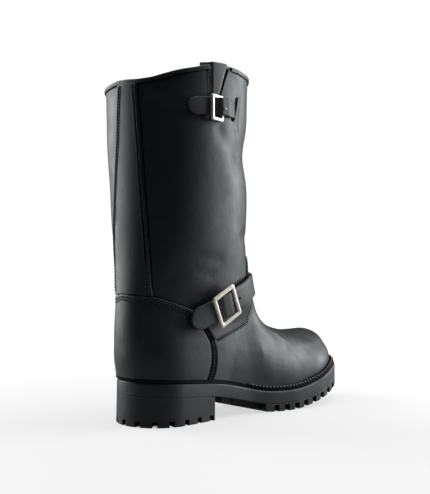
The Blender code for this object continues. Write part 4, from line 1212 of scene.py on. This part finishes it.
def base_seams(boot):
    around = np.linspace(INSTEP_BASE[0][0] + SEAM_END, INSTEP_BASE[-1][0] - SEAM_END, 140)
    ring = smooth(INSTEP_BASE, INSTEP_BASE_COLUMNS, "low", around)
    rows = [stitch_row(boot, shifted(boot, ring, around, up=up), over) for up, over in BASE_ROWS]
    beads("instep_base_stitches", rows)
    line = shifted(boot, ring, around, up=-EDGE_SHADE)
    painted_shade_line("instep_base_shadow", boot, *line, 2 * DARK_WIDTH, PANEL_TOP)


def collar_seams(boot):
    """The painted shadow under the binding, and the fold's painted shade and thread down the notch's back
    edge.
    """
    around = np.linspace(NOTCH_SPAN[1] + 2 * BINDING_CLEAR, 1 + NOTCH_SPAN[0] - 2 * BINDING_CLEAR, 500)
    line = shifted(boot, 1 + 0 * around, around, up=-BINDING_DEPTH - EDGE_SHADE)
    painted_shade_line("collar_shadow", boot, *line)
    ring = np.linspace(NOTCH_BOTTOM + SEAM_END, FLAP_TOP, 60)
    for name, inset in FLAP_LINES:
        painted_shade_line(name, boot, *shifted(boot, ring, notch_edge(ring, 0), on=-inset))
    beads("collar_stitches", [stitch_row(boot, shifted(boot, ring, notch_edge(ring, 0), on=-FLAP_ROW))])


def slit(boot):
    """The slit that takes the collar strap, drawn as a dark line of painted shade, and its raised lip."""
    ring = np.linspace(SLIT[0][0], SLIT[-1][0], 30)
    around = np.interp(ring, *np.transpose(sorted(SLIT)))
    painted_shade_line("slit_shadow", boot, ring, around, SLIT_WIDTH)
    strip("slit_lip", boot, *shifted(boot, ring, around, on=SLIT_LIP_ON), *SLIT_LIP, leather())


def loft(name, y, levels, made, nodes, sharp=38):
    """A sole body: levels are (inset, height) arrays over y, from the top's edge down to the bottom's.

    Both sides use the same y stations, so its top and bottom close straight across.
    """
    lateral, medial = plan(y)
    slope_lateral, slope_medial = np.gradient(lateral, y), np.gradient(medial, y)
    rows = []
    for inset, z in levels:
        sides = []
        for width, slope, sign in ((lateral, slope_lateral, 1), (medial, slope_medial, -1)):
            slope = np.clip(slope, -STEEPEST, STEEPEST)
            size = np.sqrt(1 + slope**2)
            x = width - inset / size
            ahead = y + inset * slope / size
            x = np.where(width < 1e-6, 0.0, np.maximum(x, 0))
            sides.append(np.stack([sign * x, ahead, z], 1))
        rows.append(np.concatenate([sides[0], sides[1][::-1]]))
    rows = np.array(rows)
    count = len(y)
    faces = grid_faces(len(rows), 2 * count)
    for base in (0, (len(rows) - 1) * 2 * count):
        for i in range(count - 1):
            faces.append((base + i, base + i + 1, base + 2 * count - 2 - i, base + 2 * count - 1 - i))
    return piece(name, rows.reshape(-1, 3), faces, made, nodes, sharp)


def lugs(name, fine, place_slots, slot, bottom, count, node):
    """A tread body over fine y stations, with slots across its edge where place_slots puts them.

    place_slots takes the edge's length and gives distances along it; slot is a width and a height;
    bottom gives the underside's height at y.
    """
    reach = outline_run(fine)
    centres = place_slots(reach[-1])
    walls = [c + s * (slot[0] / 2 + e) for c in centres for s in (-1, 1) for e in (0, SLOT_EDGE)]
    marks = np.r_[np.linspace(0, reach[-1], count), np.clip(walls, 0, reach[-1])]
    y = np.unique(np.interp(marks, reach, fine))
    run = np.interp(y, fine, reach)
    top, low, flat = sole_top(y) - MIDSOLE, bottom(y), 0 * y
    away = np.min([np.abs(run - centre) for centre in centres], axis=0)
    deep = LUG_DEPTH * np.clip((slot[0] / 2 + SLOT_EDGE - away) / SLOT_EDGE, 0, 1)
    high = low + slot[1]
    levels = [(flat + SOFT, top), (flat, top - SOFT), (flat, high), (deep, high), (deep, low + SOFT),
              (deep + SOFT, low)]
    loft(name, y, levels, rubber(), (node,))


def heel_slots(end):
    return np.linspace(0, end - HEEL_SLOT[0], HEEL_SLOTS // 2 + 1)


def heel_block():
    fine = np.linspace(0, HEEL_LENGTH, EDGE_POINTS)
    lugs("heel_rubber", fine, heel_slots, HEEL_SLOT, np.zeros_like, 220, "heel")


def outline_run(y):
    """The length along the sole's outer edge from the first station to each."""
    lateral, _ = plan(y)
    return np.r_[0, np.cumsum(np.hypot(np.diff(y), np.diff(lateral)))]


def fore_bottom(y):
    """The underside of the forefoot's tread, which rises towards the toe."""
    spring = np.clip((sole_top(y) - SOLE_THICKNESS) / TOE_SPRING, 0, 1) * (y > LENGTH / 2)
    return np.maximum(sole_top(y) - SOLE_THICKNESS - TOE_EXTRA * spring, 0)


def fore_slots(end):
    return end * np.arange(1, FORE_SLOTS // 2 + 2) / (FORE_SLOTS // 2 + 1)


def tread():
    start = FORE_START * LENGTH
    fine = start + (LENGTH - start) * np.sin(np.linspace(0, np.pi / 2, EDGE_POINTS))
    lugs("tread_rubber", fine, fore_slots, FORE_SLOT, fore_bottom, 300, "outsole")


def arch():
    """The narrower tread under the arch, with its one gap."""
    y = np.linspace(ARCH_START * LENGTH, FORE_START * LENGTH, 60)
    top = sole_top(y) - MIDSOLE
    gap = np.abs((y - y[0]) / (y[-1] - y[0]) - ARCH_GAP[0]) < ARCH_GAP[1]
    low = np.where(gap, top - SOFT, top - ARCH_HEIGHT)
    inset = ARCH_INSET + 0 * y
    levels = [(inset, top), (inset, low + SOFT * ~gap), (inset + SOFT, low)]
    loft("arch_rubber", y, levels, rubber(), ())


def midsole():
    y = LENGTH * eased(280)
    top = sole_top(y)
    flat = 0 * y
    levels = [(flat + LIP, top)]
    for turn in np.linspace(0.35, np.pi / 2, 5):
        levels.append((flat + LIP * (1 - math.sin(turn)), top - LIP * (1 - math.cos(turn))))
    levels += [(flat, top - MIDSOLE + SOFT), (flat + SOFT, top - MIDSOLE)]
    loft("midsole_rubber", y, levels, rubber(), ("midsole",))


def welt(boot):
    """The stitched ledge round the forefoot, with its groove and chunky thread; its darker tone is partly
    painted shade.
    """
    around = np.linspace(WELT_SPAN, 1 - WELT_SPAN, 420)
    hug = LAYER + 2 * GAP
    foot = boot.at(0 * around, around, hug)
    wall = boot.at(0 * around + 0.05, around, hug)
    ledge = foot + (wall - foot) * (WELT / (wall[:, 2:] - foot[:, 2:]))
    y = np.linspace(0, LENGTH - WELT_INSET, 2400)
    lateral, medial = plan(y, inset=WELT_INSET)
    edge = np.concatenate([np.stack([lateral, y], 1), np.stack([-medial, y], 1)[::-1]])
    reach = np.linalg.norm(foot[:, None, :2] - edge[None], axis=2)
    rim = edge[reach.argmin(axis=1)]
    for _ in range(12):
        rim[1:-1] = (rim[:-2] + 2 * rim[1:-1] + rim[2:]) / 4
    rows = []
    for share, height in WELT_SECTION:
        spot = ledge[:, :2] + (rim - ledge[:, :2]) * share
        floor = sole_top(spot[:, 1]) + GAP
        rows.append(np.column_stack([spot, floor + WELT * height]))
    sheet("welt_leather", np.array(rows), dyed_edge_and_shade(), ("welt",))
    line = ledge[:, :2] + (rim - ledge[:, :2]) * WELT_STITCH_AT
    line = np.column_stack([line, sole_top(line[:, 1]) + GAP + WELT + WELT_BEAD_LIFT])
    up = np.tile([0.0, 0.0, 1.0], (len(line), 1))
    beads("welt_stitches", [(line, up, WELT_PITCH, WELT_BEAD)])


def insole():
    """The insole board, seen down the shaft."""
    clear = WALL + 3 * GAP
    rows = plan_rows()
    back, front = rows[0][3] + clear, LENGTH - rows[-1][3] - clear
    y = back + (front - back) * eased(90)
    lateral, medial = plan(y, inset=clear, feather=1.0)
    share = np.linspace(0, 1, 13)
    x = -medial[:, None] + (lateral + medial)[:, None] * share
    z = (sole_top(y) + GAP + INSOLE)[:, None] + 0 * x
    top = np.stack([x, y[:, None] + 0 * x, z], 2)
    sheet("insole_top", top, board(), ("insole",))


def instep_set(boot):
    """The strap base, the strap over the instep and its buckle on the outer side."""
    share = spread(*BASE_GRID[0])[None, :]
    around = INSTEP_BASE[0][0] + share * (INSTEP_BASE[-1][0] - INSTEP_BASE[0][0])
    low = smooth(INSTEP_BASE, INSTEP_BASE_COLUMNS, "low", around)
    high = smooth(INSTEP_BASE, INSTEP_BASE_COLUMNS, "high", around)
    ring = low + spread(*BASE_GRID[1])[:, None] * (high - low)
    to_seam = seam(ring, "vamp") + STRIP_CLEAR - INSTEP_BASE[0][0]
    around = around + (1 - share) ** BASE_POWER * to_seam
    # The base takes the straps' lighter leather, whose tone is painted light.
    panel("instep_strap_base_leather", boot, ring, around, 2 * GAP + LAYER, ("instep_strap_base",),
          ALL_EDGES, strap_leather_lit())
    base = 3 * GAP + 2 * LAYER + STRAP_SLACK
    seat = seat_on(boot.calm, *INSTEP_SEAT, INSTEP_HEADING, INSTEP_BUCKLE)
    run = path_run(boot, INSTEP_PATH)

    def out(at):
        thin = STRAP_THINNING * np.clip((at - run[3]) / (run[4] - run[3]), 0, 1)
        hump = INSTEP_HUMP * bump(at - run[2], INSTEP_FRAME[0], 2 * INSTEP_FRAME[0])
        return base - thin + hump

    strap("instep_strap_leather", boot, INSTEP_PATH, INSTEP_STRAP, INSTEP_STRAP_THICKNESS, out,
          ("instep_strap",))
    lift = base + INSTEP_STRAP_THICKNESS + GAP
    buckle("instep_buckle_frame", seat, INSTEP_BUCKLE, INSTEP_FRAME, 0.0, lift, ("instep_buckle",))
    centre, along, across, up = seat
    level = base + INSTEP_HUMP + INSTEP_STRAP_THICKNESS
    spot = centre + along * (INSTEP_BUCKLE[0] / 2 - INSTEP_FRAME[0]) + up * (level - PRONG_SINK)
    disc("instep_prong_tip", spot, along, across, up, *INSTEP_PRONG, metal(), "buckle_metal")
    # Each instep_hole is a flat disc of painted shade.
    for on, down in INSTEP_HOLES:
        at = run[2] + on
        level = out(at) + INSTEP_STRAP_THICKNESS * STRAP_CROWN + 3 * DARK_LIFT
        spot, along, across, up = on_strap(boot, INSTEP_PATH, at, level)
        spot = spot - across * down
        disc("instep_hole", spot, along, across, up, HOLE_DISC, HOLE_RISE, painted_shade(), "black_leather")


def on_strap(boot, path, at, height):
    """A spot over a strap's path at this run and height, with its axes."""
    table = np.column_stack([path_run(boot, path), np.array(path, float)])
    names = ("run", "around", "ring")
    around, ring = (float(smooth(table, names, name, at)) for name in names[1:])
    _, along, across, up = boot.calm.frame(ring, around)
    return boot.calm.at(ring, around, height), along, across, up


def collar_set(boot):
    """The strap by the collar, which dives into its slit, and the buckle whose right bar it covers."""
    seat = seat_on(boot.calm, *COLLAR_SEAT, COLLAR_HEADING, COLLAR_BUCKLE)
    run = path_run(boot, COLLAR_PATH)
    bar = run[2] + (COLLAR_BUCKLE[0] - COLLAR_FRAME[0]) / 2
    rise = BUCKLE_THICKNESS + SEAT_SLACK + 2 * GAP

    def out(at):
        dive = SLIT_DIVE[1] * np.clip(1 - (run[-1] - at) / SLIT_DIVE[0], 0, 1) ** 2
        return STRAP_SLACK + rise * bump(at - bar, COLLAR_FRAME[0], 2 * COLLAR_FRAME[0]) - dive

    strap("collar_strap_leather", boot, COLLAR_PATH, COLLAR_STRAP, COLLAR_STRAP_THICKNESS, out,
          ("collar_strap",))
    high = COLLAR_STRAP_THICKNESS + SEAT_SLACK + 2 * GAP
    tilt = -math.atan(high / (COLLAR_BUCKLE[0] - COLLAR_FRAME[0]))
    lift = GAP + high / 2
    buckle("collar_buckle_frame", seat, COLLAR_BUCKLE, COLLAR_FRAME, tilt, lift, ("collar_buckle",))
    # Of these, collar_hole is a flat disc of painted shade.
    for name, (on, down, level), rise, made, group in (
        ("collar_prong_tip", COLLAR_PRONG, PRONG_RISE, metal(), "buckle_metal"),
        ("collar_hole", COLLAR_HOLE, HOLE_RISE, painted_shade(), "black_leather"),
    ):
        spot, along, across, up = on_strap(boot, COLLAR_PATH, run[2] + on, level)
        disc(name, spot - across * down, along, across, up, COLLAR_DISC, rise, made, group)


class Look:
    """A procedural material under construction, with short ways to add its nodes."""

    def __init__(self, name):
        self.made = bpy.data.materials.new(name)
        self.made.use_nodes = True
        self.tree = self.made.node_tree
        self.shader = self.tree.nodes["Principled BSDF"]
        self.where = self.tree.nodes.new("ShaderNodeTexCoord").outputs["Object"]

    def set(self, **values):
        for name, value in values.items():
            name = name.replace("_", " ").title().replace("Ior", "IOR")
            self.shader.inputs[name].default_value = value

    def feed(self, name, output):
        self.tree.links.new(output, self.shader.inputs[name])

    def node(self, kind, linked, **values):
        """A new node's outputs; linked gives its inputs by name, values the numbers in the others."""
        made = self.tree.nodes.new("ShaderNode" + kind)
        for name, output in linked.items():
            self.tree.links.new(output, made.inputs[name])
        for name, value in values.items():
            made.inputs[name.replace("_", " ")].default_value = value
        return made.outputs

    def noise(self, scale, detail=3.0, rough=0.5):
        where = {"Vector": self.where}
        return self.node("TexNoise", where, Scale=scale, Detail=detail, Roughness=rough)["Fac"]

    def cells(self, scale):
        return self.node("TexVoronoi", {"Vector": self.where}, Scale=scale)["Distance"]

    def ranged(self, value, low, high, start=0.3, end=0.7):
        ends = {"From_Min": start, "From_Max": end, "To_Min": low, "To_Max": high}
        return self.node("MapRange", {"Value": value}, **ends)["Result"]

    def coloured(self, tones, *noise):
        """The base colour, mixed of a dark and a light tone by noise."""
        ramp = self.tree.nodes.new("ShaderNodeValToRGB")
        for element, place, tone in zip(ramp.color_ramp.elements, (0.3, 0.7), tones):
            element.position = place
            element.color = (*tone, 1)
        self.tree.links.new(self.noise(*noise), ramp.inputs["Fac"])
        self.feed("Base Color", ramp.outputs["Color"])

    def rough(self, low, high, *noise):
        """The roughness, between two values by noise."""
        self.feed("Roughness", self.ranged(self.noise(*noise), low, high))

    def grained(self, *bumps):
        """Bumps over one another, each as (height's output, distance, strength)."""
        under = {}
        for height, distance, strength in bumps:
            linked = {"Height": height, **under}
            under = {"Normal": self.node("Bump", linked, Strength=strength, Distance=distance)["Normal"]}
        self.feed("Normal", under["Normal"])


def kept(build):
    """Makes each material once, named after its function, and hands the same one out again."""

    def again():
        if build.__name__ not in bpy.data.materials:
            build(Look(build.__name__))
        return bpy.data.materials[build.__name__]

    return again


@kept
def leather(look):
    look.coloured(LEATHER, 38, 5)
    look.rough(0.44, 0.58, 55, 6, 0.6)
    look.set(coat_weight=0.06, coat_roughness=0.38, specular_ior_level=0.5, specular_tint=COOL)
    look.grained((look.noise(95, 3), 0.0007, 0.35), (look.cells(1100), 0.00014, 0.4),
                 (look.noise(1900, 2), 0.00008, 0.4))


# Lighter than the shaft's leather as painted light on the straps and the strap base.
@kept
def strap_leather_lit(look):
    look.coloured(STRAP_LIT, 45, 5)
    look.rough(0.46, 0.60, 65, 6, 0.6)
    look.set(coat_weight=0.05, coat_roughness=0.4, specular_tint=COOL)
    look.grained((look.cells(1200), 0.00012, 0.4), (look.noise(1900, 2), 0.00008, 0.4))


@kept
def lining(look):
    look.coloured(LINING, 120, 4)
    look.rough(0.6, 0.8, 90, 3)
    look.grained((look.noise(900, 3), 0.0003, 0.6))


@kept
def rubber(look):
    look.coloured(RUBBER, 60, 5)
    look.rough(0.46, 0.66, 75, 5, 0.6)
    look.set(specular_tint=COOL)
    look.grained((look.noise(700, 4), 0.00016, 0.5))


@kept
def metal(look):
    look.coloured(METAL, 200, 4)
    look.rough(0.34, 0.46, 350, 4)
    look.set(metallic=0.65)
    look.grained((look.noise(160, 2), 0.00008, 0.15))


@kept
def thread(look):
    look.coloured(THREAD, 900, 3)
    look.rough(0.34, 0.50, 700, 2)
    look.grained((look.noise(2500, 2), 0.0001, 0.6))


@kept
def board(look):
    look.coloured(BOARD, 50, 5)
    look.rough(0.7, 0.85, 80, 3)
    look.grained((look.noise(1100, 3), 0.0002, 0.6))


# Dyed black edge leather for the side strips and the welt, darker than the leather partly as painted shade
# of the gaps beside them.
@kept
def dyed_edge_and_shade(look):
    look.coloured(DYED_EDGE_AND_SHADE, 150, 3)
    look.rough(0.70, 0.85, 300, 3)
    look.set(specular_ior_level=0.08)
    look.grained((look.noise(1200, 3), 0.0002, 0.5))


# Painted shade: near-black lines for shadows under edges and shade in grooves, folds and the slit, and
# discs for the strap holes.
@kept
def painted_shade(look):
    look.coloured(PAINTED_SHADE_TONES, 800, 2)
    look.rough(0.8, 0.95, 500, 2)
    look.set(specular_ior_level=0.1)


def floor_look():
    """A pale matt floor whose glow is dimmer near the boot as a painted shadow and grows to plain white
    away from it.
    """
    look = Look("pale_floor")
    look.coloured(FLOOR, 2, 2)
    look.set(roughness=0.6, specular_ior_level=0.2, emission_color=(1, 1, 1, 1))
    apart = look.tree.nodes.new("ShaderNodeVectorMath")
    apart.operation = "LENGTH"
    look.tree.links.new(look.where, apart.inputs[0])
    # The glow is dimmer near the boot: a painted shadow round it.
    seen = look.ranged(apart.outputs["Value"], *FLOOR_GLOW_AND_SHADOW, *FLOOR_FADE)
    path = look.tree.nodes.new("ShaderNodeLightPath")
    share = look.ranged(path.outputs["Is Camera Ray"], FLOOR_BOUNCE, 1.0, 0.0, 1.0)
    mixed = look.tree.nodes.new("ShaderNodeMath")
    mixed.operation = "MULTIPLY"
    look.tree.links.new(seen, mixed.inputs[0])
    look.tree.links.new(share, mixed.inputs[1])
    look.feed("Emission Strength", mixed.outputs["Value"])
    return look.made


def floor():
    """The floor starts a little in front of the boot, so that the boot's front stays dark."""
    right, _, ahead = camera_axes()
    ahead = Vector((ahead.x, ahead.y, 0)).normalized()
    right = Vector((right.x, right.y, 0)).normalized()
    corners = []
    for side, depth in ((-1, -FLOOR_NEAR), (1, -FLOOR_NEAR), (1, FLOOR_REACH), (-1, FLOOR_REACH)):
        corners.append(right * side * FLOOR_REACH + ahead * depth)
    mesh = bpy.data.meshes.new("floor")
    mesh.from_pydata(corners, [], [(0, 1, 2, 3)])
    mesh.materials.append(floor_look())
    obj = bpy.data.objects.new("floor", mesh)
    bpy.context.scene.collection.objects.link(obj)


def world():
    """White behind the boot to the camera, a dim studio to everything else."""
    made = bpy.data.worlds.new("studio")
    bpy.context.scene.world = made
    made.use_nodes = True
    tree = made.node_tree
    out = tree.nodes["World Output"]
    dim = tree.nodes["Background"]
    dim.inputs["Color"].default_value = STUDIO_COOL
    dim.inputs["Strength"].default_value = STUDIO_DIM
    white = tree.nodes.new("ShaderNodeBackground")
    white.inputs["Strength"].default_value = BACKDROP
    white.inputs["Color"].default_value = (1, 1, 1, 1)
    path = tree.nodes.new("ShaderNodeLightPath")
    mix = tree.nodes.new("ShaderNodeMixShader")
    tree.links.new(path.outputs["Is Camera Ray"], mix.inputs["Fac"])
    tree.links.new(dim.outputs["Background"], mix.inputs[1])
    tree.links.new(white.outputs["Background"], mix.inputs[2])
    tree.links.new(mix.outputs["Shader"], out.inputs["Surface"])


def camera_axes():
    """The camera's right, up and view direction."""
    turn, lift, roll = (math.radians(angle) for angle in (CAMERA_TURN, CAMERA_LIFT, CAMERA_ROLL))
    level = Vector((-math.sin(turn), math.cos(turn), 0))
    ahead = level * math.cos(lift) + Vector((0, 0, math.sin(lift)))
    right = level.cross(Vector((0, 0, 1)))
    up = right.cross(ahead)
    turned = right * math.cos(roll) + up * math.sin(roll)
    return turned, up * math.cos(roll) - right * math.sin(roll), ahead


def camera():
    right, up, ahead = camera_axes()
    data = bpy.data.cameras.new("camera")
    data.sensor_width = 36
    data.lens = CAMERA_LENS
    data.clip_start = 0.01
    obj = bpy.data.objects.new("camera", data)
    bpy.context.scene.collection.objects.link(obj)
    turn = Matrix((right, up, -ahead)).transposed()
    obj.matrix_world = Matrix.Translation(CAMERA_AT) @ turn.to_4x4()
    bpy.context.scene.camera = obj


def lights():
    """Soft boxes placed by the picture's own directions: right, up and away from the camera."""
    right, _, ahead = camera_axes()
    up = Vector((0, 0, 1))
    for name, power, size, spot in LIGHTS:
        data = bpy.data.lights.new(name, "AREA")
        data.shape = "RECTANGLE"
        data.size, data.size_y = size
        data.energy = power
        obj = bpy.data.objects.new(name, data)
        bpy.context.scene.collection.objects.link(obj)
        middle = Vector(LIT_MIDDLE)
        obj.location = middle + right * spot[0] + up * spot[1] + ahead * spot[2]
        obj.rotation_mode = "QUATERNION"
        obj.rotation_quaternion = (middle - obj.location).to_track_quat("-Z", "Y")


def main():
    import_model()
    boot = Boot()
    shaft(boot)
    vamp(boot)
    counter(boot)
    side_strips(boot)
    backstay(boot)
    collar_binding(boot)
    gusset(boot)
    instep_set(boot)
    collar_set(boot)
    stitching(boot)
    midsole()
    heel_block()
    tread()
    arch()
    welt(boot)
    insole()
    floor()
    world()
    camera()
    lights()
    bpy.context.scene.view_settings.view_transform = "Standard"


main()
